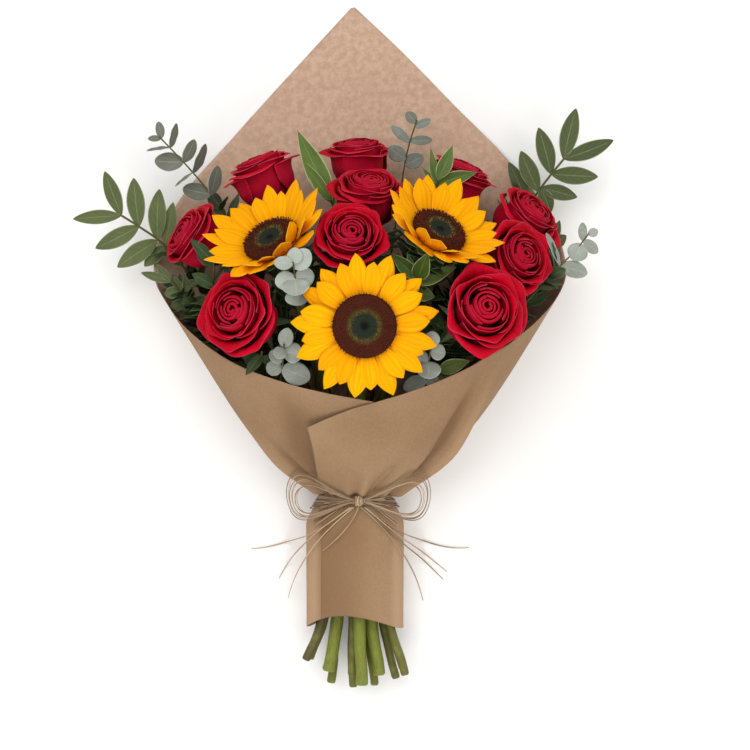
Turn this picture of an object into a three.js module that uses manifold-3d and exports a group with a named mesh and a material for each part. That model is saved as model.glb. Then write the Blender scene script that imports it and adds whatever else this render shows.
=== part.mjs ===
// A hand-tied bouquet of red roses, sunflowers and green sprays in a kraft paper wrap, tied
// with raffia. It lies on its back on a table, as a cut bunch with no vase does.
//
// Frame: millimetres, +Z up from the table, +Y from the cut stems towards the paper's peak,
// +X to the right of someone who looks down on the flowers. The origin is on the table, at
// the middle of the bouquet's length and width.

import * as THREE from "three";
import { mergeVertices } from "three/addons/utils/BufferGeometryUtils.js";
import Module from "manifold-3d";

const wasm = await Module();
wasm.setup();

const V = (x, y, z) => new THREE.Vector3(x, y, z);
const { lerp, smoothstep, degToRad } = THREE.MathUtils;
const PI = Math.PI;
const UP = V(0, 0, 1);

// ---------------------------------------------------------------- driving dimensions (mm)

const PAPER = { thick: 0.8, lap: 1.7, mouthY: -210.5, mouthArch: 5.5, archTurn: 0.46 };
const NECK = { x: 8.8, y: -112, z: 27, halfWidth: 25, halfDepth: 25 };
const SLEEVE = { halfWidth: 37, halfDepth: 29, z: 27.5, neckShare: 0.24, fullShare: 0.76 };
const FLAP = { atBottom: 0.73, atRim: 0.43, cornerShare: 0.815 }; // radians past the front centre
const BELLY = { out: 4.1, aside: 1.8, down: 25, front: 5, share: 0.43, tight: 0.945 };

// The sheet's two upper edges, from the peak behind the flowers round each side to the front.
const LEFT_EDGE = [
  [7, 266, 0], [-39, 216, 0], [-84, 166, 0], [-123, 121, 7], [-142, 84, 22], [-144, 55, 46],
  [-134, 33, 71], [-117, 12, 94], [-86, -10, 115], [-50, -26, 129], [-14, -35, 137], [22, -42, 141],
];
const RIGHT_EDGE = [
  [7, 266, 0], [45, 230, 0], [85, 189, 0], [125, 148, 6], [156, 106, 20], [169, 66, 44],
  [165, 42, 67], [147, 20, 90], [117, -1, 111], [86, -18, 127], [53, -32, 137], [22, -42, 141],
];

// Each head: the heart of its face, which way it leans (degrees from straight up, and the
// compass way it leans to, 0 along +X and 90 along +Y), and its radius.
const ROSES = [
  { at: [10, 155, 52], lean: 76, to: 92, radius: 28 },
  { at: [21, 123, 106], lean: 61, to: 84, radius: 29.5 },
  { at: [7, 83, 150], lean: 28, to: 84, radius: 28.5 },
  { at: [-80, 26, 148], lean: 30, to: 158, radius: 32.5 },
  { at: [105.2, 27.6, 161.2], lean: 22, to: 40, radius: 34.5 },
  { at: [-121, 86, 84], lean: 68, to: 148, radius: 29 },
  { at: [-65, 141, 70], lean: 82, to: 112, radius: 29 },
  { at: [92, 137, 61], lean: 78, to: 68, radius: 28.5 },
  { at: [146, 104, 67], lean: 64, to: 48, radius: 29.5 },
  { at: [135.6, 67.6, 116.8], lean: 40, to: 26, radius: 30 },
];
// Of a sunflower, radius is its disc's, and petal is how far its longest petals stand out.
const SUNFLOWERS = [
  { at: [-53, 79, 136], lean: 50, to: 118, radius: 22, petal: 27.5, cup: 40 },
  { at: [72, 85, 137.6], lean: 50, to: 60, radius: 21.5, petal: 26.5, cup: 40 },
  { at: [16.5, 13, 165], lean: 4, to: 270, radius: 24.3, petal: 29, cup: 6 },
];

// Each spray: where its leaves begin, where its stem ends, how far it bows sideways, and its
// leaves. A leaf is [share of the way up the spray, compass direction, rise in degrees, length,
// width, tilt in degrees about its own length].
const SPRAYS = [
  { name: "ruscus_spray_left", shape: "ruscus", from: [-136, 76, 42], to: [-170, 100, 56],
    bow: 2, leaves: [
      [1, 184, 0, 37, 11, 0], [1, 111, 0, 36, 12, 0], [0.62, 96, 5, 37, 14, 0],
      [0.62, 207, 5, 37, 14, 0], [0.19, 88, 5, 39, 14, 0], [0.19, 214, 5, 37, 15, 0],
      [0.02, 79, 5, 34, 11, 0], [0.02, 225, 5, 22, 11, 0],
    ] },
  { name: "ruscus_spray_right", shape: "ruscus", from: [141, 106, 24], to: [169, 144, 48],
    bow: -2, leaves: [
      [1, 76, 0, 40, 14, 0], [1, 21, 0, 41, 13, 0], [0.69, 105, 0, 37, 14, 0],
      [0.69, 357, 0, 36, 14, 0], [0.34, 113, 0, 34, 14, 0], [0.41, 346, 0, 29, 12, 0],
      [0.07, 115, 0, 37, 12, 0], [0.4, 294, 0, 20, 12, 0],
    ] },
  { name: "leafy_twig_right", shape: "ruscus", from: [153, 62, 36], to: [159, 76, 38],
    bow: 0, leaves: [[1, 39, 8, 15, 10, 0], [0.3, 350, 40, 12, 9, 0], [1, 72, 0, 22, 8, 0]] },
  { name: "eucalyptus_spray_left", shape: "eucalyptus", from: [-95, 107, 42],
    to: [-139, 158, 72], bow: 3, leaves: [
      [1, 100, 0, 13, 7, 0], [1, 180, 0, 10, 5, 0], [0.86, 73, 0, 19, 11, 65],
      [0.86, 185, 0, 18, 10, 70], [0.64, 177, 0, 22, 15, 10], [0.64, 62, 0, 19, 11, 40],
      [0.48, 64, 0, 24, 14, 67], [0.48, 215, 0, 17, 9, 70], [0.16, 167, 0, 22, 14, 5],
      [0.16, 75, 0, 23, 11, 30],
    ] },
  { name: "eucalyptus_spray_top", shape: "eucalyptus", from: [46, 135, 30],
    to: [56, 173, 42], bow: -2, leaves: [
      [0.89, 25, 0, 14, 7, 0], [0.97, 129, 0, 11, 9, 0], [0.57, 137, 0, 19, 8, 0],
      [0.61, 2, 0, 17, 8, 0], [0.23, 145, 0, 16, 13, 0], [0.11, 25, 0, 16, 13, 0],
    ] },
  { name: "eucalyptus_spray_right", shape: "eucalyptus", from: [162, 59, 84],
    to: [184, 84, 88], bow: 2, leaves: [
      [0.81, 92, 0, 14, 7, 0], [1, 22, 0, 8, 7, 0], [0.74, 246, 0, 14, 16, 0],
      [0.84, 316, 0, 14, 9, 0], [0.03, 344, 0, 21, 13, 0], [0.02, 110, 0, 27, 11, 60],
    ] },
  { name: "eucalyptus_spray_middle", shape: "eucalyptus", from: [-32, 32, 132],
    to: [-35, 59.5, 164.9], bow: 0, leaves: [
      [1, 178, 15, 14, 10, 0], [0.86, 50, 20, 18, 15, 0], [0.6, 275, 35, 15, 20, 0],
      [0.62, 195, 5, 15, 14, 0], [0.35, 281, 0, 13, 19, 0], [0.6, 9, 0, 14, 15, 0],
      [0.98, 80, 10, 12, 11, 0],
    ] },
  { name: "eucalyptus_spray_front_left", shape: "eucalyptus", from: [-46, -35, 110],
    to: [-42, 1, 142], bow: 0, leaves: [
      [0.96, 77, 20, 15, 11, 0], [0.94, 234, 40, 11, 10, 0], [0.86, 354, 0, 14, 15, 0],
      [0.53, 338, 0, 22, 17, 0], [0.49, 169, 0, 12, 12, 0], [0.66, 142, 0, 12, 10, 0],
    ] },
  { name: "eucalyptus_spray_front_right", shape: "eucalyptus", from: [60, -35, 112],
    to: [65, 0, 146], bow: 0, leaves: [
      [0.99, 84, 20, 12, 12, 0], [0.68, 268, 35, 15, 18, 0], [0.68, 164, 0, 14, 13, 0],
      [0.9, 352, 0, 11, 12, 0], [0.3, 204, 0, 18, 12, 0], [0.3, 337, 0, 11, 10, 0],
    ] },
  { name: "striped_leaves_back_left", shape: "lance", from: [-6, 101, 68],
    to: [-10, 110, 74], bow: 0, leaves: [
      [0.76, 115, 0, 61, 17, 0], [1, 124, 0, 37, 9, 0], [0.4, 76, 0, 18, 6, 0],
    ] },
  { name: "striped_leaves_back_right", shape: "lance", from: [70, 113, 86],
    to: [71, 124, 94], bow: 0, leaves: [
      [0.63, 100, 0, 29, 7, 0], [1, 67, 0, 28, 11, 0], [0.63, 18, 0, 31, 11, 0],
      [0.36, 124, 0, 20, 6, 0],
    ] },
  { name: "striped_leaves_middle", shape: "lance", from: [53, 35, 118], to: [55, 49, 132],
    bow: 0, leaves: [
      [0.92, 68, 48, 30, 13, 0], [1, 136, 15, 27, 11, 0], [0.71, 23, 10, 32, 11, 0],
      [0.81, 108, 20, 24, 6, 0], [0.29, 346, 0, 15, 11, 0],
    ] },
  { name: "striped_leaves_front_right", shape: "lance", from: [72, -35, 104],
    to: [70, -18, 120], bow: 0, leaves: [
      [0.82, 324, 0, 13, 12, 0], [0.73, 198, 0, 14, 12, 0], [1, 17, 0, 25, 11, 0],
    ] },
  { name: "rose_leaves_left", shape: "lance", from: [-96, 41, 92], to: [-95, 62, 108],
    bow: 0, leaves: [
      [0.17, 151, 0, 19, 10, 0], [1, 135, 0, 25, 9, 0], [0.87, 146, 0, 16, 7, 0],
    ] },
  { name: "rose_leaves_front_left", shape: "lance", from: [-60, -20, 104],
    to: [-59, -5, 126], bow: 0, leaves: [
      [0.9, 232, 8, 19, 8, 0], [0.5, 158, 16, 16, 11, 0], [0.8, 330, 0, 12, 7, 0],
    ] },
  { name: "leafy_twig_left", shape: "ruscus", from: [-108, 21, 66], to: [-130, 49, 76],
    bow: 2, leaves: [
      [1, 163, 0, 24, 7, 0], [1, 130, 0, 18, 6, 0], [0.29, 103, 20, 26, 8, 0],
      [0.74, 194, 0, 12, 9, 0], [0.74, 29, 10, 16, 8, 0], [0.41, 191, 0, 15, 9, 0],
      [0.35, 30, 0, 13, 8, 0], [0.14, 198, 0, 14, 8, 0], [0.55, 119, 10, 19, 7, 0],
    ] },
];

const STEM = { rose: 3.3, sunflower: 4.7, spray: 1.6, gap: 0.5, cutY: -255, cutSpread: 20 };
// How far the stems spread below the neck, sideways and up or down, against the neck. The
// sprays' thin stems end inside the sleeve.
const SPREAD = { atMouth: [1.62, 1.1], atCut: [2.5, 1.15] };

// The tie's knot is a little below the neck and to one side of its middle.
const RAFFIA = { strand: 0.75, turns: 3, loops: 2, loopReach: 54, loopRise: 17.5, clear: 3.2 };
const TIE = { below: 5.5, aside: 2.5 };
const KNOT = { half: [5, 4.5, 3.2], over: 8.8 };
// Every other tail lies higher over the sleeve, so that no two touch there.
const TAIL = { radius: 0.6, steps: 10, clear: 2, over: 1.4, leaves: 0.86, falls: 22 };
// Each loose tail, in millimetres from the knot: how far aside it leaves the tie, a point that
// it passes, and its end.
const TAILS = [
  [-6.5, [-46, -38], [-84, -40]],
  [-5, [-46, -30], [-62, -63]],
  [-3.5, [-44, -36], [-55, -78]],
  [0, [-5, -20], [-27, -38]],
  [6.5, [50, -43], [86, -39]],
  [5, [43, -37], [69, -58]],
  [3.5, [38, -36], [66, -64]],
  [2, [40, -36], [50, -80]],
];

// ---------------------------------------------------------------- materials

const finish = (color, roughness) => new THREE.MeshStandardMaterial({ color, roughness });
const MATERIAL = {
  kraft: finish("#b8906b", 0.85),
  rose: finish("#a8081e", 0.55),
  sunPetal: finish("#fdb515", 0.6),
  sunDisc: finish("#3b1f12", 0.95),
  stem: finish("#7d9030", 0.6),
  ruscus: finish("#5c7344", 0.6),
  eucalyptus: finish("#93a598", 0.75),
  lance: finish("#4f7a2c", 0.55),
  raffia: finish("#c8a884", 0.8),
};

// ---------------------------------------------------------------- helpers

// A seeded draw from 0 to 1 that is the same on every run.
function draw(seed, i) {
  const v = Math.sin(seed * 127.1 + i * 311.7) * 43758.5453;
  return v - Math.floor(v);
}

// A closed surface through a list of rings. A ring of one point is a pole. From column
// alikeFrom on, quads split along their other diagonal, so that both faces of a thin blade
// split alike and never cross.
function skin(rings, alikeFrom = Infinity) {
  const points = [];
  const starts = rings.map((ring) => {
    points.push(...ring);
    return points.length - ring.length;
  });
  const faces = [];
  for (let r = 0; r + 1 < rings.length; r++) {
    const [a, b] = [starts[r], starts[r + 1]];
    const [na, nb] = [rings[r].length, rings[r + 1].length];
    for (let k = 0; k < Math.max(na, nb); k++) {
      const k2 = (k + 1) % Math.max(na, nb);
      if (na === 1) faces.push(a, b + k2, b + k);
      else if (nb === 1) faces.push(a + k, a + k2, b);
      else if (k < alikeFrom) faces.push(a + k, b + k2, b + k, a + k, a + k2, b + k2);
      else faces.push(a + k2, b + k2, b + k, a + k2, b + k, a + k);
    }
  }
  const closeWithFan = (start, n, turned) => {
    for (let k = 1; k + 1 < n; k++) {
      if (turned) faces.push(start, start + k, start + k + 1);
      else faces.push(start, start + k + 1, start + k);
    }
  };
  if (rings[0].length > 1) closeWithFan(starts[0], rings[0].length, false);
  const last = rings.length - 1;
  if (rings[last].length > 1) closeWithFan(starts[last], rings[last].length, true);
  const geometry = new THREE.BufferGeometry().setFromPoints(points);
  geometry.setIndex(faces);
  return geometry;
}

// A geometry as a manifold-3d solid, turned to face out.
function solidOf(geometry) {
  const merged = mergeVertices(geometry, 1e-4);
  const triVerts = new Uint32Array(merged.index.array);
  const vertProperties = merged.attributes.position.array;
  const made = new wasm.Manifold(new wasm.Mesh({ numProp: 3, vertProperties, triVerts }));
  if (made.volume() > 0) return made;
  for (let i = 0; i < triVerts.length; i += 3) {
    [triVerts[i + 1], triVerts[i + 2]] = [triVerts[i + 2], triVerts[i + 1]];
  }
  return new wasm.Manifold(new wasm.Mesh({ numProp: 3, vertProperties, triVerts }));
}

const SLIVER = 0.06; // a joint's slivers, which are narrower than this, are tidied away

// The solids joined into one geometry. What came loose is dropped.
function joined(geometries) {
  const whole = geometries.map(solidOf).reduce((sum, solid) => sum.add(solid));
  const bodies = whole.decompose().sort((a, b) => b.volume() - a.volume());
  const mesh = bodies[0].simplify(SLIVER).getMesh();
  const geometry = new THREE.BufferGeometry();
  geometry.setAttribute("position", new THREE.BufferAttribute(mesh.vertProperties, 3));
  geometry.setIndex(new THREE.BufferAttribute(mesh.triVerts, 1));
  return geometry;
}

function piece(name, geometry, material) {
  geometry.computeVertexNormals();
  const mesh = new THREE.Mesh(geometry, material);
  mesh.name = name;
  return mesh;
}

// The unit vector that leans from straight up towards a compass direction, in degrees.
function leaning(lean, to) {
  const [l, t] = [degToRad(lean), degToRad(to)];
  return V(Math.sin(l) * Math.cos(t), Math.sin(l) * Math.sin(t), Math.cos(l));
}

// Uniform Catmull-Rom through points, with u from 0 to 1 over the whole list.
function through(points) {
  const curve = new THREE.CatmullRomCurve3(points.map((p) => V(...p)), false, "catmullrom", 0.5);
  return (u) => curve.getPoint(u);
}

// ---------------------------------------------------------------- the kraft wrap

const leftEdge = through(LEFT_EDGE);
const rightEdge = through(RIGHT_EDGE);

// How far the sleeve has widened from the neck's size to its mouth's, at a share of the way
// from the mouth up to the neck.
function sleeveWidening(share) {
  return 1 - smoothstep(share, SLEEVE.fullShare, 1);
}

// A point of the paper's middle, before the lap is opened. around is the angle from the back
// centre line, positive to the right. v runs from the sleeve's mouth to the sheet's edge.
function paperMiddle(around, v) {
  const wrapped = Math.abs(around) > PI ? around - Math.sign(around) * 2 * PI : around;
  const [s, c] = [Math.sin(wrapped), Math.cos(wrapped)];
  const neck = V(NECK.x + NECK.halfWidth * s, NECK.y, NECK.z - NECK.halfDepth * c);
  if (v < SLEEVE.neckShare) {
    const t = v / SLEEVE.neckShare;
    const wide = sleeveWidening(t);
    const halfWidth = lerp(NECK.halfWidth, SLEEVE.halfWidth, wide);
    const halfDepth = lerp(NECK.halfDepth, SLEEVE.halfDepth, wide);
    const mouth = PAPER.mouthY + PAPER.mouthArch * Math.cos(2 * wrapped - PAPER.archTurn);
    const y = lerp(mouth, NECK.y, t);
    const z = lerp(NECK.z, SLEEVE.z, wide) - halfDepth * c;
    return V(NECK.x + halfWidth * s, y, Math.max(z, PAPER.thick / 2));
  }
  const edge = wrapped < 0 ? leftEdge(-wrapped / PI) : rightEdge(wrapped / PI);
  const control = neck.clone().lerp(edge, BELLY.share);
  control.x += BELLY.out * s + BELLY.aside * Math.abs(s);
  control.y -= BELLY.down * Math.abs(s) + BELLY.front * Math.max(0, -c);
  control.z += BELLY.front * Math.max(0, -c);
  const first = neck.clone().lerp(control, BELLY.tight);
  const last = edge.clone().lerp(control, BELLY.tight);
  const past = Math.max(0, Math.abs(around) - PI) / FLAP.atRim;
  const t = ((v - SLEEVE.neckShare) / (1 - SLEEVE.neckShare)) * lerp(1, FLAP.cornerShare, past);
  const p = new THREE.CubicBezierCurve3(neck, first, last, edge).getPoint(t);
  p.z = Math.max(p.z, PAPER.thick / 2);
  return p;
}

// The angle of a column u (from -1, the left flap's free edge, to 1, the right's) at height v.
function paperAngle(u, v) {
  const whole = PI + lerp(FLAP.atBottom, FLAP.atRim, smoothstep(v, 0, 1));
  return u * whole;
}

// How far the right flap is lifted off the left one that it laps over.
function lapLift(around) {
  return PAPER.lap * smoothstep(around, 0.55 * PI, 0.85 * PI);
}

function paperSide(u, v, side) {
  const step = 0.004;
  const at = (du, dv) => paperMiddle(paperAngle(u + du, v + dv), Math.min(1, v + dv));
  const here = paperMiddle(paperAngle(u, v), v);
  const alongU = at(u > 0 ? -step : step, 0).sub(here).multiplyScalar(u > 0 ? -1 : 1);
  const back = v > 1 - step;
  const alongV = at(0, back ? -step : step).sub(here).multiplyScalar(back ? -1 : 1);
  const outward = alongV.cross(alongU).normalize();
  const lift = lapLift(paperAngle(u, v)) + (side * PAPER.thick) / 2;
  const p = here.addScaledVector(outward, lift);
  p.z = Math.max(p.z, side > 0 ? 0 : PAPER.thick);
  return p;
}

function wrapGeometry(columns, flapColumns, rows) {
  const flapAt = PI / (PI + FLAP.atRim);
  const us = [];
  for (let i = 0; i < flapColumns; i++) us.push(lerp(-1, -flapAt, i / flapColumns));
  for (let i = 0; i <= columns; i++) us.push(lerp(-flapAt, flapAt, i / columns));
  for (let i = 1; i <= flapColumns; i++) us.push(lerp(flapAt, 1, i / flapColumns));
  const vs = rows;
  const [nu, nv] = [us.length, vs.length];
  const points = [];
  for (const side of [1, -1]) {
    for (const v of vs) for (const u of us) points.push(paperSide(u, v, side));
  }
  const index = (side, i, j) => side * nu * nv + j * nu + i;
  const faces = [];
  for (let j = 0; j + 1 < nv; j++) {
    for (let i = 0; i + 1 < nu; i++) {
      for (const side of [0, 1]) {
        const [a, b] = [index(side, i, j), index(side, i + 1, j)];
        const [c, d] = [index(side, i + 1, j + 1), index(side, i, j + 1)];
        faces.push(...(side ? [a, b, c, a, c, d] : [a, c, b, a, d, c]));
      }
    }
  }
  const border = [];
  for (let i = 0; i < nu; i++) border.push([i, 0]);
  for (let j = 1; j < nv; j++) border.push([nu - 1, j]);
  for (let i = nu - 2; i >= 0; i--) border.push([i, nv - 1]);
  for (let j = nv - 2; j >= 1; j--) border.push([0, j]);
  border.forEach(([i, j], k) => {
    const [i2, j2] = border[(k + 1) % border.length];
    const [a, b, c, d] = [index(0, i, j), index(0, i2, j2), index(1, i2, j2), index(1, i, j)];
    faces.push(a, b, c, a, c, d);
  });
  const geometry = new THREE.BufferGeometry().setFromPoints(points);
  geometry.setIndex(faces);
  return geometry;
}

const SLEEVE_ROWS = [0, 0.182, 0.2, 0.222, 0.24];
const FLARE_ROWS = [0.28, 0.36, 0.47, 0.59, 0.72, 0.86, 1];

// ---------------------------------------------------------------- blooms

const BLOOM_COLUMNS = 18;
const BLOOM_TALL = 1.16;
// From the base up the outside and in over each whorl of petals: the radius and height as
// shares of the bloom's radius, and at a whorl's rim its petals, its notches and its turn.
const BLOOM_RINGS = [
  { r: 0.25, h: 0 },
  { r: 0.6, h: 0.14 },
  { r: 0.8, h: 0.52 },
  { r: 1, h: 0.93, petals: 5, notch: 0.17, turn: 0 },
  { r: 0.72, h: 0.74 },
  { r: 0.78, h: 1.12, petals: 5, notch: 0.1, turn: 0.62 },
  { r: 0.56, h: 0.92 },
  { r: 0.56, h: 1.22, petals: 4, notch: 0.08, turn: 0.3 },
  { r: 0.37, h: 1.04 },
  { r: 0.35, h: 1.27, petals: 3, notch: 0.07, turn: 1.1 },
  { r: 0.19, h: 1.12 },
  { r: 0.15, h: 1.27, petals: 2, notch: 0.05, turn: 0.4 },
];
const HEART_HEIGHT = 1.22 * BLOOM_TALL;

function bloomRing({ r, h, petals, notch, turn }, radius, seed) {
  return Array.from({ length: BLOOM_COLUMNS }, (_, k) => {
    const angle = (2 * PI * k) / BLOOM_COLUMNS;
    let [out, up] = [r, h];
    if (petals) {
      const phase = (petals * (angle - turn - seed)) / 2;
      const lobe = Math.pow(Math.abs(Math.cos(phase)), 0.7);
      const overlap = phase / PI - Math.floor(phase / PI);
      out *= 0.93 + 0.07 * lobe + 0.05 * (overlap - 0.5);
      up -= notch * (1 - lobe);
    }
    return V(out * Math.cos(angle), out * Math.sin(angle), up * BLOOM_TALL)
      .multiplyScalar(radius);
  });
}

function bloomGeometry(radius, seed) {
  const rings = BLOOM_RINGS.map((ring) => bloomRing(ring, radius, seed));
  return skin([[V(0, 0, 0)], ...rings, [V(0, 0, 1.16 * BLOOM_TALL * radius)]]);
}

// ---------------------------------------------------------------- blades

// A thin blade along a path. at(t) gives the middle of the blade, widthAt(t) its half width,
// across and face are unit vectors. lift raises its two edges.
function blade(stations, at, widthAt, across, face, thick, lift) {
  const rings = stations.map((t) => {
    const middle = at(t);
    const half = widthAt(t);
    if (half === 0) return [middle];
    const edge = (sign) =>
      middle.clone().addScaledVector(across, sign * half).addScaledVector(face, lift * half);
    const rib = (sign) => middle.clone().addScaledVector(face, (sign * thick) / 2);
    return [edge(-1), rib(1), edge(1), rib(-1)];
  });
  return skin(rings, 2);
}

// ---------------------------------------------------------------- sunflowers

const RAYS = 12;
const RAY = { half: 7.2, thick: 1.2, lift: 0.16, root: 3, stations: [0, 0.4, 0.72, 1] };
const FRONT_REACH = 0.8; // of the back layer's
// The petals on the side that a leaning head lifts are shorter and steeper.
const LIFTED = { shorter: 0.45, steeper: 0.3 };
const HUB = { over: 1, thick: 2.6, sides: 12 };

function rayPetal(flower, layer, k) {
  const seed = flower.radius + layer * 17 + flower.petal;
  const angle = (2 * PI * (k + layer * 0.5 + 0.14 * (draw(seed, k) - 0.5))) / RAYS;
  const facing = Math.max(0, -Math.cos(angle - degToRad(flower.to)));
  const lifted = Math.pow(facing, 1.2) * smoothstep(flower.lean, 10, 40);
  const layerReach = flower.petal * (layer ? 1 : FRONT_REACH) * (1 - LIFTED.shorter * lifted);
  const reach = layerReach * (0.95 + 0.1 * draw(seed, k + 40));
  const cupped = flower.cup * (1 + LIFTED.steeper * lifted);
  const cup = Math.tan(degToRad(cupped + 8 * (draw(seed, k + 80) - 0.5)));
  const start = flower.radius - RAY.root;
  const outward = V(Math.cos(angle), Math.sin(angle), 0);
  const across = V(-Math.sin(angle), Math.cos(angle), 0);
  const base = layer ? -2.2 : -0.9;
  const at = (t) => {
    const out = start + (reach + RAY.root) * t;
    const z = base + reach * (cup * t - 0.14 * t * t) - layer * 2.2 * t;
    return outward.clone().multiplyScalar(out).setZ(z);
  };
  const widthAt = (t) => (t >= 1 ? 0 : RAY.half * Math.sin(PI * (0.2 + 0.8 * Math.pow(t, 0.9))));
  return blade(RAY.stations, at, widthAt, across, UP, RAY.thick, RAY.lift);
}

function hub(flower) {
  const hubRadius = flower.radius + HUB.over;
  const geometry = new THREE.CylinderGeometry(hubRadius, hubRadius, HUB.thick, HUB.sides);
  geometry.rotateX(PI / 2).translate(0, 0, -HUB.thick / 2);
  return bare(geometry);
}

// A geometry with its positions alone, so that its seams merge.
function bare(geometry) {
  geometry.deleteAttribute("normal");
  geometry.deleteAttribute("uv");
  return geometry;
}

function rayGeometry(flower) {
  const parts = [hub(flower)];
  for (let layer = 0; layer < 2; layer++) {
    for (let k = 0; k < RAYS; k++) parts.push(rayPetal(flower, layer, k));
  }
  return joined(parts);
}

const DISC_COLUMNS = 16;
const DISC_RINGS = [
  [0.8, 0.3, 0], [1, 3.4, 0.5], [0.92, 6.4, -0.6], [0.7, 6.8, 0.6], [0.46, 5.6, -0.5],
  [0.22, 5.6, 0.4],
];

// The florets stand up as a relief: high and low by turns along each ring.
function discGeometry(radius) {
  const rings = DISC_RINGS.map(([share, height, relief]) =>
    Array.from({ length: DISC_COLUMNS }, (_, k) => {
      const angle = (2 * PI * k) / DISC_COLUMNS;
      const bump = k % 2 ? relief : -relief;
      const out = share * radius;
      return V(out * Math.cos(angle), out * Math.sin(angle), height + bump);
    }),
  );
  return skin([[V(0, 0, 0.3)], ...rings, [V(0, 0, 5.6)]]);
}

// ---------------------------------------------------------------- stems

// Where each stem runs in the neck's cross-section. A stem aims for the side that its head
// leans out on, and the stems then jostle for room, so that no two cross.
function neckSlots(stems) {
  const slots = stems.map(({ from }) => {
    const along = Math.max(60, from.y - NECK.y);
    const x = 25 * Math.atan2(from.x - NECK.x, along);
    const z = 30 * (Math.atan2(from.z - NECK.z, along) - 0.42);
    return new THREE.Vector2(x, z);
  });
  for (let round = 0; round < 400; round++) {
    for (let i = 0; i < slots.length; i++) {
      for (let j = i + 1; j < slots.length; j++) {
        const apart = slots[j].clone().sub(slots[i]);
        const room = stems[i].radius + stems[j].radius + STEM.gap;
        const short = room - apart.length();
        if (short <= 0) continue;
        apart.setLength(short / 2);
        slots[i].sub(apart);
        slots[j].add(apart);
      }
    }
    slots.forEach((slot, i) => {
      const reach = NECK.halfDepth - 3.2 - stems[i].radius;
      if (slot.length() > reach) slot.setLength(reach);
    });
  }
  return slots;
}

// A stem from its cut end, through the neck, to where it meets its head or its leaves.
function stemPath(stem, slot, order) {
  const across = ([wide, high], y) =>
    V(NECK.x + slot.x * wide, y, NECK.z + slot.y * high);
  const cut = STEM.cutY - STEM.cutSpread * (draw(5, order) - 0.5) + 0.4 * Math.abs(slot.x);
  const neck = [across([1, 1], NECK.y - 16), across([1, 1], NECK.y + 6)];
  const lower = stem.onward
    ? [across(SPREAD.atMouth, PAPER.mouthY + lerp(5, 15, draw(5, order))), ...neck]
    : [across(SPREAD.atCut, cut), across(SPREAD.atMouth, PAPER.mouthY + 5), ...neck];
  const start = neck[1];
  const reach = start.distanceTo(stem.from);
  const first = start.clone().lerp(stem.from, 0.34);
  const last = stem.from.clone().addScaledVector(stem.axis, -0.34 * reach);
  const upper = new THREE.CubicBezierCurve3(start, first, last, stem.from);
  const further = [0.2, 0.4, 0.6, 0.8, 1].map((t) => upper.getPoint(t));
  return [...lower, ...further, ...(stem.onward ?? [])];
}

// A tube of a few sides along points, with a radius for each. Its ends are flat.
function tube(points, radii, sides) {
  const curve = new THREE.CatmullRomCurve3(points, false, "catmullrom", 0.5);
  const count = points.length - 1;
  let side = V(1, 0, 0);
  const rings = points.map((p, i) => {
    const tangent = curve.getTangent(i / count);
    side = side.clone().addScaledVector(tangent, -side.dot(tangent)).normalize();
    const other = tangent.clone().cross(side);
    return Array.from({ length: sides }, (_, k) => {
      const angle = (2 * PI * k) / sides;
      const out = side.clone().multiplyScalar(Math.cos(angle));
      out.addScaledVector(other, Math.sin(angle));
      return p.clone().addScaledVector(out, radii[i]);
    });
  });
  return skin(rings);
}

// The green cup under a bloom, with five sepals that bend back from it.
function calyx(radius) {
  const top = 0.27 * radius;
  const sides = 10;
  const ring = (r, z) =>
    Array.from({ length: sides }, (_, k) => {
      const angle = (2 * PI * k) / sides;
      return V(r * Math.cos(angle), r * Math.sin(angle), z);
    });
  const star = ring(1, 0).map((p, k) => {
    const sepal = k % 2 === 0;
    return p.multiplyScalar(sepal ? 0.72 * radius : 0.3 * radius).setZ(sepal ? -4.5 : -2.2);
  });
  return skin([[V(0, 0, -0.4)], ring(top, -0.4), star, ring(0.7 * top, -5), [V(0, 0, -12)]]);
}

// The green back of a sunflower, with its bracts.
function receptacle(flower) {
  const sides = 16;
  const r = flower.radius;
  const cup = Math.tan(degToRad(Math.min(flower.cup, 26) - 6));
  const ring = (out, z) =>
    Array.from({ length: sides }, (_, k) => {
      const angle = (2 * PI * k) / sides;
      return V(out * Math.cos(angle), out * Math.sin(angle), z);
    });
  const bracts = ring(1, 0).map((p, k) => {
    const tip = k % 2 === 0;
    return p.multiplyScalar(tip ? r + 5 : r - 1).setZ(tip ? -6.5 + 7 * cup : -6.4);
  });
  return skin([[V(0, 0, -3)], ring(r - 2, -3), bracts, ring(r - 4, -9), ring(4.5, -17)]);
}

// ---------------------------------------------------------------- sprays

// Stations along a leaf, its half width there as a share of the widest, its thickness, and
// how far its edges lift and its length droops.
const LEAF_SHAPES = {
  ruscus: { stations: [0, 0.28, 0.65, 1], wide: [0, 0.92, 0.94, 0], thick: 1, lift: 0.1 },
  eucalyptus: { stations: [0, 0.28, 0.74, 1], wide: [0, 1, 0.96, 0], thick: 0.9, lift: 0.08 },
  lance: { stations: [0, 0.3, 0.66, 1], wide: [0, 1, 0.8, 0], thick: 1.1, lift: 0.22 },
};
const DROOP = 0.06;

function sprayLeaf(shape, root, [, to, rise, length, wide, tilt]) {
  const along = leaning(90 - rise, to);
  const level = leaning(90, to + 90);
  const across = level.applyAxisAngle(along, degToRad(tilt));
  const face = along.clone().cross(across);
  const at = (t) =>
    root
      .clone()
      .addScaledVector(along, length * t)
      .addScaledVector(face, -DROOP * length * t * t);
  const widthAt = (t) => (wide / 2) * shape.wide[shape.stations.indexOf(t)];
  return blade(shape.stations, at, widthAt, across, face, shape.thick, shape.lift);
}

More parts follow.
